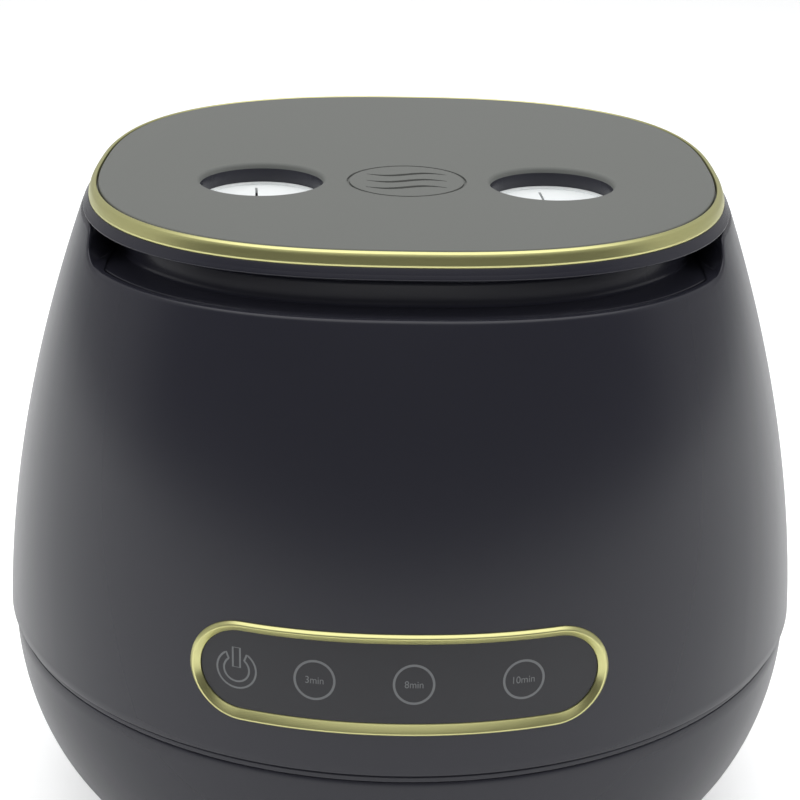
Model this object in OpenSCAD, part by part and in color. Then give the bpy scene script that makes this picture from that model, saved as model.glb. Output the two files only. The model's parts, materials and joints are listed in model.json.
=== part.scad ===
// Facial and towel steamer: a round pot that squares off towards a hinged lid.
// Millimetres, +Z up, +Y to the hinge, origin on the floor under the body's centre.

/* [Body] */
// Width and depth of the body at its widest, on the seam
body_w = 240; // [236:1:246]
// Height of the lid panel's top face above the floor
body_h = 200; // [197:1:206]
// Height of the housing's bottom edge, where it meets the base
seam_z = 69.2; // [67:0.2:71]
// Width of the housing across its shoulders, under the lid
shoulder_w = 184; // [182:0.5:187]
// How far the housing's side bows out past a straight line
side_bulge = 4.7; // [4:0.1:5.6]
// Squareness of the lid's outline, where 2 is a circle
lid_square = 2.52; // [2.44:0.02:2.66]
// Wall of the moulded housing and base
wall = 2.5; // [2.2:0.1:2.8]

/* [Base] */
// Width of the flat underneath the base
base_flat_w = 149.6; // [147:0.2:153]
// Height of the rubber feet below the base
foot_h = 3; // [2:0.5:5]
// Radius of a foot
foot_r = 8; // [6:0.5:9]
// Distance of each foot inside the edge of the flat underneath
foot_inset = 19.8; // [18:0.2:21]
// Shadow gap at the seam, which the seam band half fills
seam_gap = 3; // [2.4:0.1:3.6]
// Thickness of the bottom cover
cover_t = 2.5; // [2:0.1:3]
// Distance of the housing screws inside the seam
column_inset = 19; // [18:0.5:21]
// Height of the cord gland's centre above the floor
gland_z = 32; // [30:0.5:36]
// Radius of the hole in the cord gland
cord_r = 3.3; // [2.8:0.1:3.8]

/* [Finger recess] */
// Depth of the front recess below the housing's shoulders
recess_h = 8.7; // [7.5:0.1:9.5]
// Half width of the front recess
recess_half_w = 85; // [82:0.5:86]
// Radius of the recess's lower corners
recess_corner = 4; // [2:0.5:6]

/* [Lid] */
// Thickness of the lid's top panel
panel_t = 1.6; // [1.4:0.1:2]
// Height of the gold ring's foot below the panel's top face
ring_drop = 3.8; // [3.4:0.1:4.2]
// Width of the gold ring at its top
ring_w = 2.2; // [1.8:0.1:2.6]
// Height of the sloped skirt below the gold ring
skirt_h = 2.9; // [2.5:0.1:3.3]
// How far the skirt slopes out below the ring
skirt_slope = 3; // [2.5:0.1:3.4]
// How far the skirt stands out past the shoulder
skirt_overhang = 0.9; // [0.6:0.1:1.2]
// Distance of each steam hole from the middle
vent_x = 40.6; // [39:0.2:43]
// How far the steam holes sit in front of the middle
vent_front = 20.6; // [18:0.2:22]
// Radius of a steam hole
vent_r = 17.3; // [16.5:0.1:18]
// Depth of the white disc below the panel's top face
disc_drop = 5.5; // [5:0.1:6]
// Radius of the engraved circle
icon_r = 16.8; // [15:0.2:17.4]
// Depth of the engraving
engrave = 0.35; // [0.2:0.05:0.5]
// Depth of the liner's plug below its plate
plug_h = 8; // [6:0.5:10]

/* [Hinge] */
// Distance of the hinge pin behind the housing's shoulder
hinge_back = 6.5; // [6:0.1:8]
// Height of the hinge pin below the panel's top face
hinge_drop = 9.5; // [9:0.1:10]
// Radius of the hinge pin
pin_r = 2; // [1.6:0.1:2.4]
// Radius of the knuckles round the pin
knuckle_r = 4.5; // [4.1:0.1:4.8]
// Half width of the middle knuckle
knuckle_half = 12; // [10:0.5:13]
// Length of each lid knuckle
arm_w = 16; // [13:0.5:17]

/* [Steam chamber] */
// Distance of the chamber's wall inside the deck's collar
chamber_inset = 6; // [5:0.2:7]
// Height of the heating pan above the power board
pan_rise = 27.4; // [27:0.2:31]
// Sheet of the chamber
chamber_t = 1.2; // [1:0.1:1.5]
// Thickness of the top deck
deck_t = 3; // [2.5:0.1:3.5]
// Height of the collar above the deck
collar_h = 6.5; // [6:0.1:6.8]
// Distance of the collar inside the shoulder
collar_inset = 9; // [8.5:0.1:9.4]
// Radius of the heating pan's bowl
pan_r = 48; // [46:0.5:50]
// Depth of the heating pan below the chamber floor
pan_h = 14; // [12:0.5:16]
// Sheet of the heating pan
pan_t = 1.8; // [1.5:0.1:2.2]

/* [Steam tray] */
// Height of the tray above the chamber floor
tray_lift = 27; // [24:1:34]
// Gap between the tray and the chamber wall
tray_gap = 2.5; // [1.5:0.1:3.5]
// Thickness of the tray
tray_t = 2; // [1.5:0.1:3]
// Radius of the steam holes in the tray
tray_hole_r = 3; // [2.5:0.1:3.4]
// Height of the tray's lifting knob
knob_h = 30; // [22:1:36]

/* [Control window] */
// Width of the gold bezel
bezel_w = 108; // [104:1:112]
// Height of the gold bezel
bezel_h = 27; // [25:0.5:29]
// Height of the bezel's centre above the seam
bezel_rise = 25.3; // [24:0.1:27]
// Width of the bezel's band
bezel_band = 2.8; // [2.2:0.1:3.4]
// How far the bezel stands out from the housing
bezel_out = 1.2; // [0.8:0.1:1.8]
// How far the window sits back from the housing's face
window_back = 0.6; // [0.3:0.1:1]

/* [Fits] */
// Gap between the lid and the housing
lid_gap = 0.3; // [0.3:0.05:0.5]
// Gap between pieces that drop into each other
fit = 0.1; // [0.08:0.01:0.16]
// Gap round a shaft that turns or a screw that threads in
pin_fit = 0.05; // [0.03:0.01:0.08]

/* [Hidden] */

$fn = 64;
seg = 72;
eps = 0.01;
gloss_black = "#14161c";
gold = "#d6cf7a";
steel = "silver";
white_pp = "#e4e7e6";
board_green = "#1d5b3a";

// Screws
screw_r = 1.5;
screw_head_r = 2.8;
screw_head_h = 1.6;
small_screw_r = 1.1;
small_head_r = 2;
small_head_h = 1.2;
boss_r = 3.5;

// Heights, from the lid down
skirt_z = body_h - ring_drop - skirt_h;
shoulder_z = skirt_z - lid_gap;
recess_z = shoulder_z - recess_h;
deck_z = recess_z - 0.3;
deck_under = deck_z - deck_t;
collar_z = deck_z + collar_h;
hinge_z = body_h - hinge_drop;
disc_z = body_h - disc_drop;

// Heights, from the floor up
board_t = 1.6;
board_lift = 10.5;
base_z = foot_h;
cover_top = base_z + cover_t;
board_z = cover_top + board_lift;
board_top = board_z + board_t;
pan_under = board_top + pan_rise;
chamber_floor = pan_under + pan_h;
base_top = seam_z - seam_gap;

// Half widths of the squared outlines
shoulder_half = shoulder_w / 2;
skirt_half = shoulder_half + skirt_overhang;
ring_foot_half = skirt_half - skirt_slope;
ring_in_half = ring_foot_half - ring_w;
panel_half = ring_in_half - 0.5;
collar_half = shoulder_half - collar_inset;
chamber_r = collar_half - chamber_inset;
hinge_y = shoulder_half + hinge_back;

// Outline of the pot: round at the seam, squared at the lid
function body_square(z) = 2 + (lid_square - 2) * (z - seam_z) / (body_h - seam_z);
function rise(z) = (z - seam_z) / (shoulder_z - seam_z);
function half_w(z) =
    body_w / 2 + (shoulder_half - body_w / 2) * rise(z) + 4 * side_bulge * rise(z) * (1 - rise(z));
function reach(a, n, t) = a / pow(pow(abs(cos(t)), n) + pow(abs(sin(t)), n), 1 / n);
function squircle(a, n, count = seg) = [
    for (i = [0:count - 1]) let (t = 360 * i / count) reach(a, n, t) * [cos(t), sin(t)]
];
function at_height(outline, z) = [for (p = outline) [p.x, p.y, z]];
function body_ring(z, inset) = at_height(squircle(half_w(z) - inset, body_square(z)), z);
function flat_points(rings) = [for (r = rings, p = r) p];

// Stadium outline with round ends
function stadium(w, h, steps = 14) = [
    for (side = [0, 1], i = [0:steps])
        let (a = -90 + 180 * i / steps + 180 * side, c = (w - h) / 2 * (side ? -1 : 1))
        [c + h / 2 * cos(a), h / 2 * sin(a)]
];

// Skin between rings of equal count; the last ring joins the first when looped
function skin(rows, count, looped) = [
    for (r = [0:rows - (looped ? 1 : 2)], i = [0:count - 1])
        let (s = (r + 1) % rows, j = (i + 1) % count)
        each [
            [r * count + i, s * count + i, s * count + j],
            [r * count + i, s * count + j, r * count + j],
        ]
];

module looped_loft(rings) {
    count = len(rings[0]);
    polyhedron(points = flat_points(rings), faces = skin(len(rings), count, true));
}

module capped_loft(rings) {
    count = len(rings[0]);
    rows = len(rings);
    caps = [
        [for (i = [0:count - 1]) i],
        [for (i = [count - 1:-1:0]) (rows - 1) * count + i],
    ];
    polyhedron(points = flat_points(rings), faces = concat(skin(rows, count, false), caps));
}

// Curved block that follows the front of the housing, between two insets
module front_block(z0, z1, inset_out, inset_in) {
    steps = 14;
    rows = 4;
    span = 70;
    count = 2 * (steps + 1);
    function place(z, inset, i) =
        let (t = -90 - span / 2 + span * i / steps)
        let (r = reach(half_w(z) - inset, body_square(z), t))
        [r * cos(t), r * sin(t), z];
    function row(z) = concat(
        [for (i = [0:steps]) place(z, inset_in, i)],
        [for (i = [steps:-1:0]) place(z, inset_out, i)]
    );
    // End face: the pair of triangles between neighbours of the inner and outer arcs
    function end_face(first, flip) = [
        for (i = [0:steps - 1])
            let (a = first + i, b = first + count - 1 - i)
            each flip ? [[a, b, a + 1], [b, b - 1, a + 1]] : [[a, a + 1, b], [b, a + 1, b - 1]]
    ];
    rings = [for (k = [0:rows]) row(z0 + (z1 - z0) * k / rows)];
    polyhedron(
        points = flat_points(rings),
        faces = concat(
            skin(rows + 1, count, false), end_face(0, false), end_face(rows * count, true)
        )
    );
}

// Prism of an outline drawn in the front view, through the front wall
module front_prism(outline, z) {
    depth = 60;
    translate([0, -body_w / 2 - 10 + depth, z])
        rotate([90, 0, 0])
            linear_extrude(depth) polygon(outline);
}

module prism(a, n, z0, z1) {
    translate([0, 0, z0]) linear_extrude(z1 - z0) polygon(squircle(a, n));
}

module disc(r, z0, z1) {
    translate([0, 0, z0]) cylinder(r = r, h = z1 - z0);
}

module tube(r_out, r_in, z0, z1) {
    difference() {
        disc(r_out, z0, z1);
        disc(r_in, z0 - 1, z1 + 1);
    }
}

module along_x(r, x0, x1) {
    translate([x0, 0, 0]) rotate([0, 90, 0]) cylinder(r = r, h = x1 - x0);
}

module along_y(r, y0, y1) {
    translate([0, y1, 0]) rotate([90, 0, 0]) cylinder(r = r, h = y1 - y0);
}

module polar(angles, place) {
    for (a = angles) rotate([0, 0, a]) translate([place, 0, 0]) children();
}

// Screw with its head's seat at z and its shank going up
module screw_up(z, length, r = screw_r, head_r = screw_head_r, head_h = screw_head_h) {
    disc(r, z, z + length);
    disc(head_r, z - head_h, z);
}

/* ---- Base ---- */
quarters = [45, 135, 225, 315];
base_rim_r = body_w / 2 - 1.1;
flat_r = base_flat_w / 2;
cover_r = flat_r - 5.3;
ledge_r = cover_r - 6.5;
tongue_out = body_w / 2 - wall - 0.8;
tongue_in = tongue_out - 2.5;
tongue_top = seam_z + 3.5;
column_r = 5;
column_place = body_w / 2 - column_inset;
column_top = seam_z + 0.8;
column_seat = column_top - 14;
housing_screw_length = 28;
column_head_r = 3.4;
cover_screw_place = (cover_r + ledge_r) / 2;
pad_r = 12;
pad_y = body_w / 2 - 5;
pad_in = pad_y - 17;
gland_r = 7;
gland_flange_r = 10;

function bowl(inset, from, to, steps = 18) = [
    for (i = [0:steps])
        let (q = from + (to - from) * i / steps)
        [
            flat_r + (base_rim_r - inset - flat_r) * cos(q),
            base_top + (base_top - base_z - inset) * sin(q),
        ]
];
function bowl_angle(inset, z) = -asin((base_top - z) / (base_top - base_z - inset));

module base_profile() {
    ledge_top = cover_top + wall;
    step_z = tongue_top - 15;
    inner = bowl(wall, bowl_angle(wall, step_z), bowl_angle(wall, ledge_top));
    polygon(concat(
        [[cover_r + fit, base_z]],
        bowl(0, -90, 0),
        [
            [base_rim_r - 0.5, base_top + 0.3],
            [tongue_out, base_top + 0.3],
            [tongue_out, tongue_top],
            [tongue_in, tongue_top],
            [tongue_in, step_z + 3],
        ],
        inner,
        [[ledge_r, ledge_top], [ledge_r, cover_top], [cover_r + fit, cover_top]]
    ));
}

// Everything inside the bowl's outer face
module bowl_inside() {
    rotate_extrude() polygon(concat(
        [[0, base_z]],
        bowl(0, -90, 0),
        [[base_rim_r, tongue_top], [0, tongue_top]]
    ));
}

module base_housing() {
    color(gloss_black) difference() {
        union() {
            rotate_extrude() base_profile();
            intersection() {
                polar(quarters, column_place) disc(column_r, base_z, column_top);
                bowl_inside();
            }
            polar([0, 90, 180, 270], cover_screw_place) disc(boss_r, cover_top + 1, cover_top + 10);
            translate([0, 0, gland_z]) along_y(pad_r, pad_in, pad_y);
        }
        polar(quarters, column_place) {
            disc(column_head_r, base_z - 1, column_seat);
            disc(screw_r + fit, column_seat - 1, column_top + 1);
        }
        polar([0, 90, 180, 270], cover_screw_place)
            disc(screw_r + pin_fit, cover_top - 1, cover_top + 9);
        translate([0, 0, gland_z]) {
            along_y(gland_r + fit, pad_in - 10, pad_y + 10);
            along_y(gland_flange_r + 2 * fit, pad_y, pad_y + 10);
        }
    }
}

module seam_band() {
    color("#2b2e36") tube(base_rim_r - 0.3, tongue_out + fit, base_top + 0.3, seam_z - 0.7);
}

/* ---- Bottom ---- */
board_w = 84;
board_d = 56;
board_y = 6;
foot_place = flat_r - foot_inset;
standoffs = [for (x = [-1, 1], y = [-1, 1]) [x * (board_w / 2 - 5), board_y + y * (board_d / 2 - 5)]];
slot_h = 30;
slot_w = 3;
slot_pitch = 7;

module bottom_cover() {
    color("#1a1b1f") difference() {
        union() {
            disc(cover_r, base_z, cover_top);
            for (p = standoffs) translate(p) disc(boss_r, cover_top - eps, board_z);
        }
        for (p = standoffs) translate(p) disc(small_screw_r + pin_fit, cover_top + 2, board_z + 1);
        polar(quarters, foot_place) disc(foot_stem_r + fit, base_z - 1, cover_top + 1);
        polar([0, 90, 180, 270], cover_screw_place) {
            disc(screw_r + fit, base_z - 1, cover_top + 1);
            disc(screw_head_r + fit, base_z - 1, base_z + 1.2);
        }
        for (k = [-3:3]) translate([k * slot_pitch - slot_w / 2, -slot_h / 2 - 14, base_z - 1])
            cube([slot_w, slot_h, cover_t + 2]);
    }
}

module cover_screws() {
    color(steel) polar([0, 90, 180, 270], cover_screw_place)
        screw_up(base_z + 1.2, cover_t + 6, screw_r, screw_head_r, 1);
}

foot_stem_r = 2.5;
foot_lock_r = 3.4;

module rubber_feet() {
    color("#26272b") polar(quarters, foot_place) {
        disc(foot_r, 0, base_z);
        disc(foot_stem_r, base_z - 0.5, cover_top + 0.5);
        disc(foot_lock_r, cover_top, cover_top + 1.4);
    }
}

module housing_screws() {
    color(steel) polar(quarters, column_place)
        screw_up(column_seat, housing_screw_length, screw_r, screw_head_r, 2);
}

module cord_gland() {
    color("#1b1c20") translate([0, 0, gland_z]) difference() {
        union() {
            along_y(gland_r, pad_in - 4, pad_y + 1);
            along_y(gland_flange_r, pad_y, pad_y + 2.5);
        }
        along_y(cord_r, pad_in - 10, pad_y + 10);
    }
}

module gland_nut() {
    color("#1b1c20") translate([0, pad_in, gland_z]) rotate([90, 0, 0]) difference() {
        cylinder(r = gland_r + 4, h = 3.8, $fn = 6);
        translate([0, 0, -1]) cylinder(r = gland_r + pin_fit, h = 6);
    }
}

module power_board() {
    color(board_green) difference() {
        translate([-board_w / 2, board_y - board_d / 2, board_z]) cube([board_w, board_d, board_t]);
        for (p = standoffs) translate(p) disc(small_screw_r + fit, board_z - 1, board_top + 1);
    }
}

module power_board_screws() {
    color(steel) for (p = standoffs) translate(p) mirror([0, 0, 1])
        screw_up(-board_top, 7, small_screw_r, small_head_r, small_head_h);
}

module part_on_board(x, y, w, d, h) {
    translate([x - w / 2, y - d / 2, board_top]) cube([w, d, h]);
}

module transformer() {
    color("#c9b458") part_on_board(-board_w / 4 + 1, board_y - 10, 22, 20, 16);
}

module relay() {
    color("#2a4f8c") part_on_board(board_w / 4 + 1, board_y - 16, 19, 15, 15);
}

module capacitor() {
    color("#30343c") translate([4, board_y - 14, 0]) disc(6, board_top, board_top + 16);
}

block_y = board_y + board_d / 2 - 8;
block_pitch = 10;
block_h = 10;
block_z = board_top + block_h / 2;

module terminal_block() {
    color("#2f8a4c") difference() {
        part_on_board(0, block_y, 3 * block_pitch, block_pitch, block_h);
        for (k = [-1:1]) translate([k * block_pitch, block_y, 0]) disc(1.8, block_z, board_top + block_h + 1);
    }
}

/* ---- Housing ---- */
window_z = seam_z + bezel_rise;
post_half_x = 40;
post_half_z = 18;
post_r = 2.8;
control_y = -(body_w / 2 - 18);
boss_angles = [0, 60, 120, 180];
housing_rows = 9;
notch_half = knuckle_half + arm_w + 4;
deck_boss_z = shoulder_z - 1.5;

function deck_boss_place(a) =
    reach(half_w(deck_z + 3) - wall, body_square(deck_z + 3), a) - boss_r + 0.8;

function reach_y(a, n, x) = pow(pow(a, n) - pow(x, n), 1 / n);
function post_front(side) =
    let (z = window_z + side * post_half_z)
    -reach_y(half_w(z + post_r) - wall / 2, body_square(z), post_half_x + post_r);

module housing_shell() {
    outer = [for (k = [0:housing_rows]) seam_z + (shoulder_z - seam_z) * k / housing_rows];
    looped_loft(concat(
        [for (z = outer) body_ring(z, 0)],
        [for (k = [housing_rows:-1:0]) body_ring(outer[k], wall)]
    ));
}

// Plan of the recess's end, a slanted line from the outer wall in to the collar
recess_end = [recess_half_w, -reach_y(half_w(recess_z + 4), body_square(recess_z), recess_half_w)];
end_slant = [-3.7, 11];

module recess_cut() {
    top = shoulder_z + 5 - recess_z;
    w = recess_half_w;
    c = recess_corner;
    corner = [for (i = [0:6]) let (q = 15 * i) [w - c + c * sin(q), c - c * cos(q)]];
    outline = concat(corner, [[w, top], [-w, top]], [for (i = [6:-1:0]) [-corner[i].x, corner[i].y]]);
    inner = recess_end + 2 * end_slant;
    outer = recess_end - 8 * end_slant;
    intersection() {
        translate([0, -5, recess_z]) rotate([90, 0, 0]) linear_extrude(150) polygon(outline);
        translate([0, 0, recess_z - 1]) linear_extrude(top + 2)
            polygon([inner, [-inner.x, inner.y], [-outer.x, outer.y], outer]);
    }
}

// Wall that closes the recess's end, between the housing and the collar
module recess_web() {
    near = recess_end - 0.3 * end_slant;
    far = recess_end + 2 * end_slant;
    shift = [wall, 0];
    difference() {
        intersection() {
            translate([0, 0, deck_z + 0.1]) linear_extrude(shoulder_z - deck_z - 0.1)
                polygon([near, near + shift, far + shift, far]);
            prism(shoulder_half - 0.8, lid_square, deck_z, shoulder_z);
        }
        prism(collar_half + 2 * fit, body_square(collar_z), deck_z - 1, shoulder_z + 1);
    }
}

module upper_housing() {
    color(gloss_black) difference() {
        union() {
            housing_shell();
            polar(quarters, column_place) {
                disc(column_r - 0.5, column_top + 0.2, column_top + 22);
                translate([2, -1.5, tongue_top + 2])
                    cube([body_w / 2 - 1.7 - column_place - 2, 3, column_top + 20 - tongue_top]);
            }
            for (a = boss_angles) rotate([0, 0, a]) translate([deck_boss_place(a), 0, 0])
                disc(boss_r, deck_z, deck_boss_z);
            for (x = [-1, 1], z = [-1, 1])
                translate([x * post_half_x, 0, window_z + z * post_half_z])
                    along_y(post_r, post_front(z), control_y);
            for (s = [0, 1]) mirror([s, 0, 0]) recess_web();
        }
        front_prism(stadium(bezel_w + 2 * fit, bezel_h + 2 * fit), window_z);
        recess_cut();
        translate([-notch_half, hinge_y - 25, recess_z]) cube([2 * notch_half, 40, 40]);
        polar(quarters, column_place) disc(screw_r + pin_fit, seam_z, column_seat + 30);
        for (a = boss_angles) rotate([0, 0, a]) translate([deck_boss_place(a), 0, 0])
            disc(screw_r + pin_fit, deck_z - 1, deck_boss_z - 1.5);
        for (x = [-1, 1], z = [-1, 1])
            translate([x * post_half_x, 0, window_z + z * post_half_z])
                along_y(small_screw_r + pin_fit, control_y - 5, control_y + 1);
    }
}

/* ---- Deck and chamber ---- */
deck_half = half_w(deck_z) - wall - 0.3;
mouth_r = chamber_r + 2.5;
chamber_flange_r = chamber_r + 7;
bracket_screw_x = knuckle_half + arm_w / 2 + 2;
bracket_screw_y = hinge_y - 11.3;
chamber_screw_place = chamber_r + 4.6;

module top_deck() {
    color("#0c0e16") difference() {
        union() {
            prism(deck_half, body_square(deck_under), deck_under, deck_z);
            prism(collar_half, body_square(collar_z), deck_z - eps, collar_z);
            for (s = [-1, 1]) translate([s * bracket_screw_x, bracket_screw_y, 0])
                disc(boss_r, deck_under - 6, deck_z - 1);
        }
        disc(mouth_r, deck_under - 1, collar_z + 1);
        for (a = boss_angles) rotate([0, 0, a]) translate([deck_boss_place(a), 0, 0])
            disc(screw_r + fit, deck_under - 1, deck_z + 1);
        for (s = [-1, 1]) translate([s * bracket_screw_x, bracket_screw_y, 0])
            disc(screw_r + pin_fit, deck_under - 5, deck_z + 1);
        polar([15:60:315], chamber_screw_place) disc(small_screw_r + pin_fit, deck_under - 1, deck_z + 3);
    }
}

module deck_screws() {
    color(steel) for (a = boss_angles) rotate([0, 0, a]) translate([deck_boss_place(a), 0, 0])
        screw_up(deck_under, deck_t + 5);
}

module steam_chamber() {
    r = chamber_r;
    t = chamber_t;
    f = chamber_floor;
    color("#b9bcc0") difference() {
        rotate_extrude() polygon([
            [pan_r + 3, f - t], [r - 3, f - t], [r + t, f + 4], [r + t, deck_under - t],
            [chamber_flange_r, deck_under - t], [chamber_flange_r, deck_under],
            [r, deck_under], [r, f + 4], [r - 3.5, f], [pan_r + 3, f],
        ]);
        polar([15:60:315], chamber_screw_place)
            disc(small_screw_r + fit, deck_under - t - 1, deck_under + 1);
        polar([0:60:300], pan_r + 8) disc(small_screw_r + fit, f - t - 1, f + 1);
    }
}

module chamber_screws() {
    color(steel) polar([15:60:315], chamber_screw_place)
        screw_up(deck_under - chamber_t, chamber_t + 5, small_screw_r, small_head_r, small_head_h);
}

pan_flange_r = pan_r + 12;
pan_seal_top = chamber_floor + 1;

module heating_pan() {
    color("#8d9094") difference() {
        rotate_extrude() polygon([
            [0, pan_under], [pan_r - 3, pan_under], [pan_r, pan_under + 3],
            [pan_r, pan_seal_top], [pan_flange_r, pan_seal_top],
            [pan_flange_r, pan_seal_top + pan_t], [pan_r - pan_t, pan_seal_top + pan_t],
            [pan_r - pan_t, pan_under + 3.6], [pan_r - 3.7, pan_under + pan_t], [0, pan_under + pan_t],
        ]);
        polar([0:60:300], pan_r + 8) disc(small_screw_r + fit, pan_seal_top - 1, pan_seal_top + 5);
    }
}

module pan_seal() {
    color("#a34b3c") difference() {
        tube(pan_flange_r, pan_r + 3, chamber_floor, pan_seal_top);
        polar([0:60:300], pan_r + 8) disc(small_screw_r + fit, chamber_floor - 1, pan_seal_top + 1);
    }
}

module pan_clamp_ring() {
    top = chamber_floor - chamber_t;
    color(steel) difference() {
        tube(pan_flange_r, pan_r + 3, top - 2, top);
        polar([0:60:300], pan_r + 8) disc(small_screw_r + pin_fit, top - 3, top + 1);
    }
}

module pan_screws() {
    seat = pan_seal_top + pan_t;
    color(steel) polar([0:60:300], pan_r + 8) mirror([0, 0, 1])
        screw_up(-seat, 7, small_screw_r, small_head_r, small_head_h);
}

/* ---- Heater ---- */
element_r = 33;
element_w = 8;
element_h = 6;
element_z = pan_under - element_h;

module heating_element() {
    color("#6f6a63") {
        rotate([0, 0, -60]) rotate_extrude(angle = 300) translate([element_r - element_w / 2, element_z])
            square([element_w, element_h]);
        for (s = [-1, 1]) translate([s * terminal_x, terminal_y, 0]) disc(1.2, pin_z, element_z + 1);
    }
}

module thermostat() {
    color("#d8d3c4") {
        disc(8, pan_under - 6, pan_under);
        translate([-13, -3.5, pan_under - 1]) cube([26, 7, 1]);
        for (s = [-1, 1]) translate([s * 4, 0, 0]) translate([-1.5, -0.4, pan_under - 12]) cube([3, 0.8, 6.5]);
    }
}

module thermal_fuse() {
    color("#e8e4da") translate([0, 20, pan_under - 3]) {
        along_x(2.2, -8, 8);
        along_x(0.5, -14, 14);
    }
}

/* ---- Controls ---- */
window_w = bezel_w - 2 * bezel_band;
window_h = bezel_h - 2 * bezel_band;
flange_front = wall + 0.3;
flange_t = 1.6;

module control_bezel() {
    color(gold) intersection() {
        front_block(window_z - bezel_h, window_z + bezel_h, -bezel_out, wall + 0.2);
        difference() {
            front_prism(stadium(bezel_w, bezel_h), window_z);
            front_prism(stadium(window_w, window_h), window_z);
        }
    }
}

module control_window() {
    color("#101114") intersection() {
        front_block(window_z - bezel_h, window_z + bezel_h, window_back, flange_front);
        front_prism(stadium(window_w - 2 * fit, window_h - 2 * fit), window_z);
    }
}

// Plate behind the wall that backs the window and the bezel
module window_carrier() {
    color("#1c1d21") intersection() {
        front_block(
            window_z - bezel_h, window_z + bezel_h, flange_front + fit, flange_front + fit + flange_t
        );
        front_prism(stadium(bezel_w + 2, bezel_h + 2), window_z);
    }
}

control_w = 90;
control_h = 42;
key_x = [-41.7, -21.5, 3.8, 31.8];

module control_board() {
    color(board_green) difference() {
        translate([-control_w / 2, control_y, window_z - control_h / 2])
            cube([control_w, board_t, control_h]);
        for (x = [-1, 1], z = [-1, 1])
            translate([x * post_half_x, 0, window_z + z * post_half_z])
                along_y(small_screw_r + fit, control_y - 1, control_y + board_t + 1);
    }
}

module control_board_screws() {
    seat = control_y + board_t;
    color(steel) for (x = [-1, 1], z = [-1, 1])
        translate([x * post_half_x, 0, window_z + z * post_half_z]) {
            along_y(small_screw_r, control_y - 4, seat);
            along_y(small_head_r, seat, seat + small_head_h);
        }
}

// How far forward a touch spring can reach before the window's curved back
function spring_front(x) =
    -reach_y(half_w(window_z + 4) - flange_front - flange_t - 0.5, body_square(window_z), abs(x) + 3);

module touch_springs() {
    color("#c9a35a") for (x = key_x) translate([x, 0, window_z]) difference() {
        along_y(3, spring_front(x), control_y);
        along_y(2.2, spring_front(x) - 1, control_y + 1);
    }
}

module indicator_leds() {
    color("#e9efe4") for (x = key_x) translate([x, 0, window_z - 8.5]) along_y(1.3, control_y - 2, control_y);
}

module buzzer() {
    color("#202226") translate([0, 0, window_z]) difference() {
        along_y(6, control_y + board_t, control_y + board_t + 7);
        along_y(1, control_y + board_t + 5, control_y + board_t + 8);
    }
}

/* ---- Hinge ---- */
bracket_front = hinge_y - 14.5;
bracket_t = 3;
bracket_d = 6.4;

module hinge_bracket() {
    color("#9a9da2") difference() {
        union() {
            translate([-bracket_screw_x - 5, bracket_front, deck_z])
                cube([2 * bracket_screw_x + 10, bracket_d, bracket_t]);
            translate([-knuckle_half, bracket_front, deck_z + 1])
                cube([2 * knuckle_half, hinge_y - bracket_front, hinge_z - deck_z - 1]);
            translate([0, hinge_y, hinge_z]) along_x(knuckle_r, -knuckle_half, knuckle_half);
        }
        translate([0, hinge_y, hinge_z]) along_x(pin_r + pin_fit, -knuckle_half - 1, knuckle_half + 1);
        for (s = [-1, 1]) translate([s * bracket_screw_x, bracket_screw_y, 0])
            disc(screw_r + fit, deck_z - 1, deck_z + bracket_t + 1);
    }
}

module hinge_bracket_screws() {
    color(steel) for (s = [-1, 1]) translate([s * bracket_screw_x, bracket_screw_y, 0]) mirror([0, 0, 1])
        screw_up(-deck_z - bracket_t, bracket_t + 6, screw_r, screw_head_r, 1.2);
}

module hinge_pin() {
    half = knuckle_half + arm_w + 1.5;
    color(steel) translate([0, hinge_y, hinge_z]) along_x(pin_r, -half, half);
}

/* ---- Lid ---- */
frame_top = body_h - panel_t;
frame_plate_t = 2.5;
liner_top = frame_top - frame_plate_t - 1.5;
liner_t = 2;
liner_under = liner_top - liner_t;
liner_r = collar_half + 0.5;
plug_r = chamber_r - 1.5;
collar_r = vent_r + 1.8;
lid_screw_place = liner_r - 5;
lid_screw_angles = [20, 160, 200, 270, 340];

module at_vent(side) {
    translate([side * vent_x, -vent_front, 0]) children();
}

module lid_frame() {
    n = lid_square;
    ring_seat = body_h - ring_drop;
    arm_x0 = knuckle_half + 0.5;
    color(gloss_black) difference() {
        capped_loft([
            at_height(squircle(skirt_half - 0.4, n), skirt_z),
            at_height(squircle(skirt_half, n), skirt_z + 0.4),
            at_height(squircle(ring_foot_half + 0.2, n), ring_seat),
            at_height(squircle(ring_in_half - fit, n), ring_seat),
            at_height(squircle(ring_in_half - fit, n), frame_top),
        ]);
        prism(liner_r + 1, 2.3, skirt_z - 1, frame_top - frame_plate_t);
        for (s = [-1, 1]) at_vent(s) disc(collar_r + fit, skirt_z - 5, frame_top + 1);
        polar(lid_screw_angles, lid_screw_place)
            disc(small_screw_r + pin_fit, skirt_z, frame_top - frame_plate_t + 1.7);
    }
    color(gloss_black) for (s = [-1, 1]) difference() {
        union() {
            translate([s > 0 ? arm_x0 : -arm_x0 - arm_w, liner_r + 1.5, hinge_z - 1])
                cube([arm_w, hinge_y - liner_r - 1.5, skirt_z + 1 - hinge_z + 1]);
            translate([0, hinge_y, hinge_z])
                along_x(knuckle_r, s > 0 ? arm_x0 : -arm_x0 - arm_w, s > 0 ? arm_x0 + arm_w : -arm_x0);
        }
        translate([0, hinge_y, hinge_z]) along_x(pin_r + pin_fit, -40, 40);
    }
}

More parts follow.
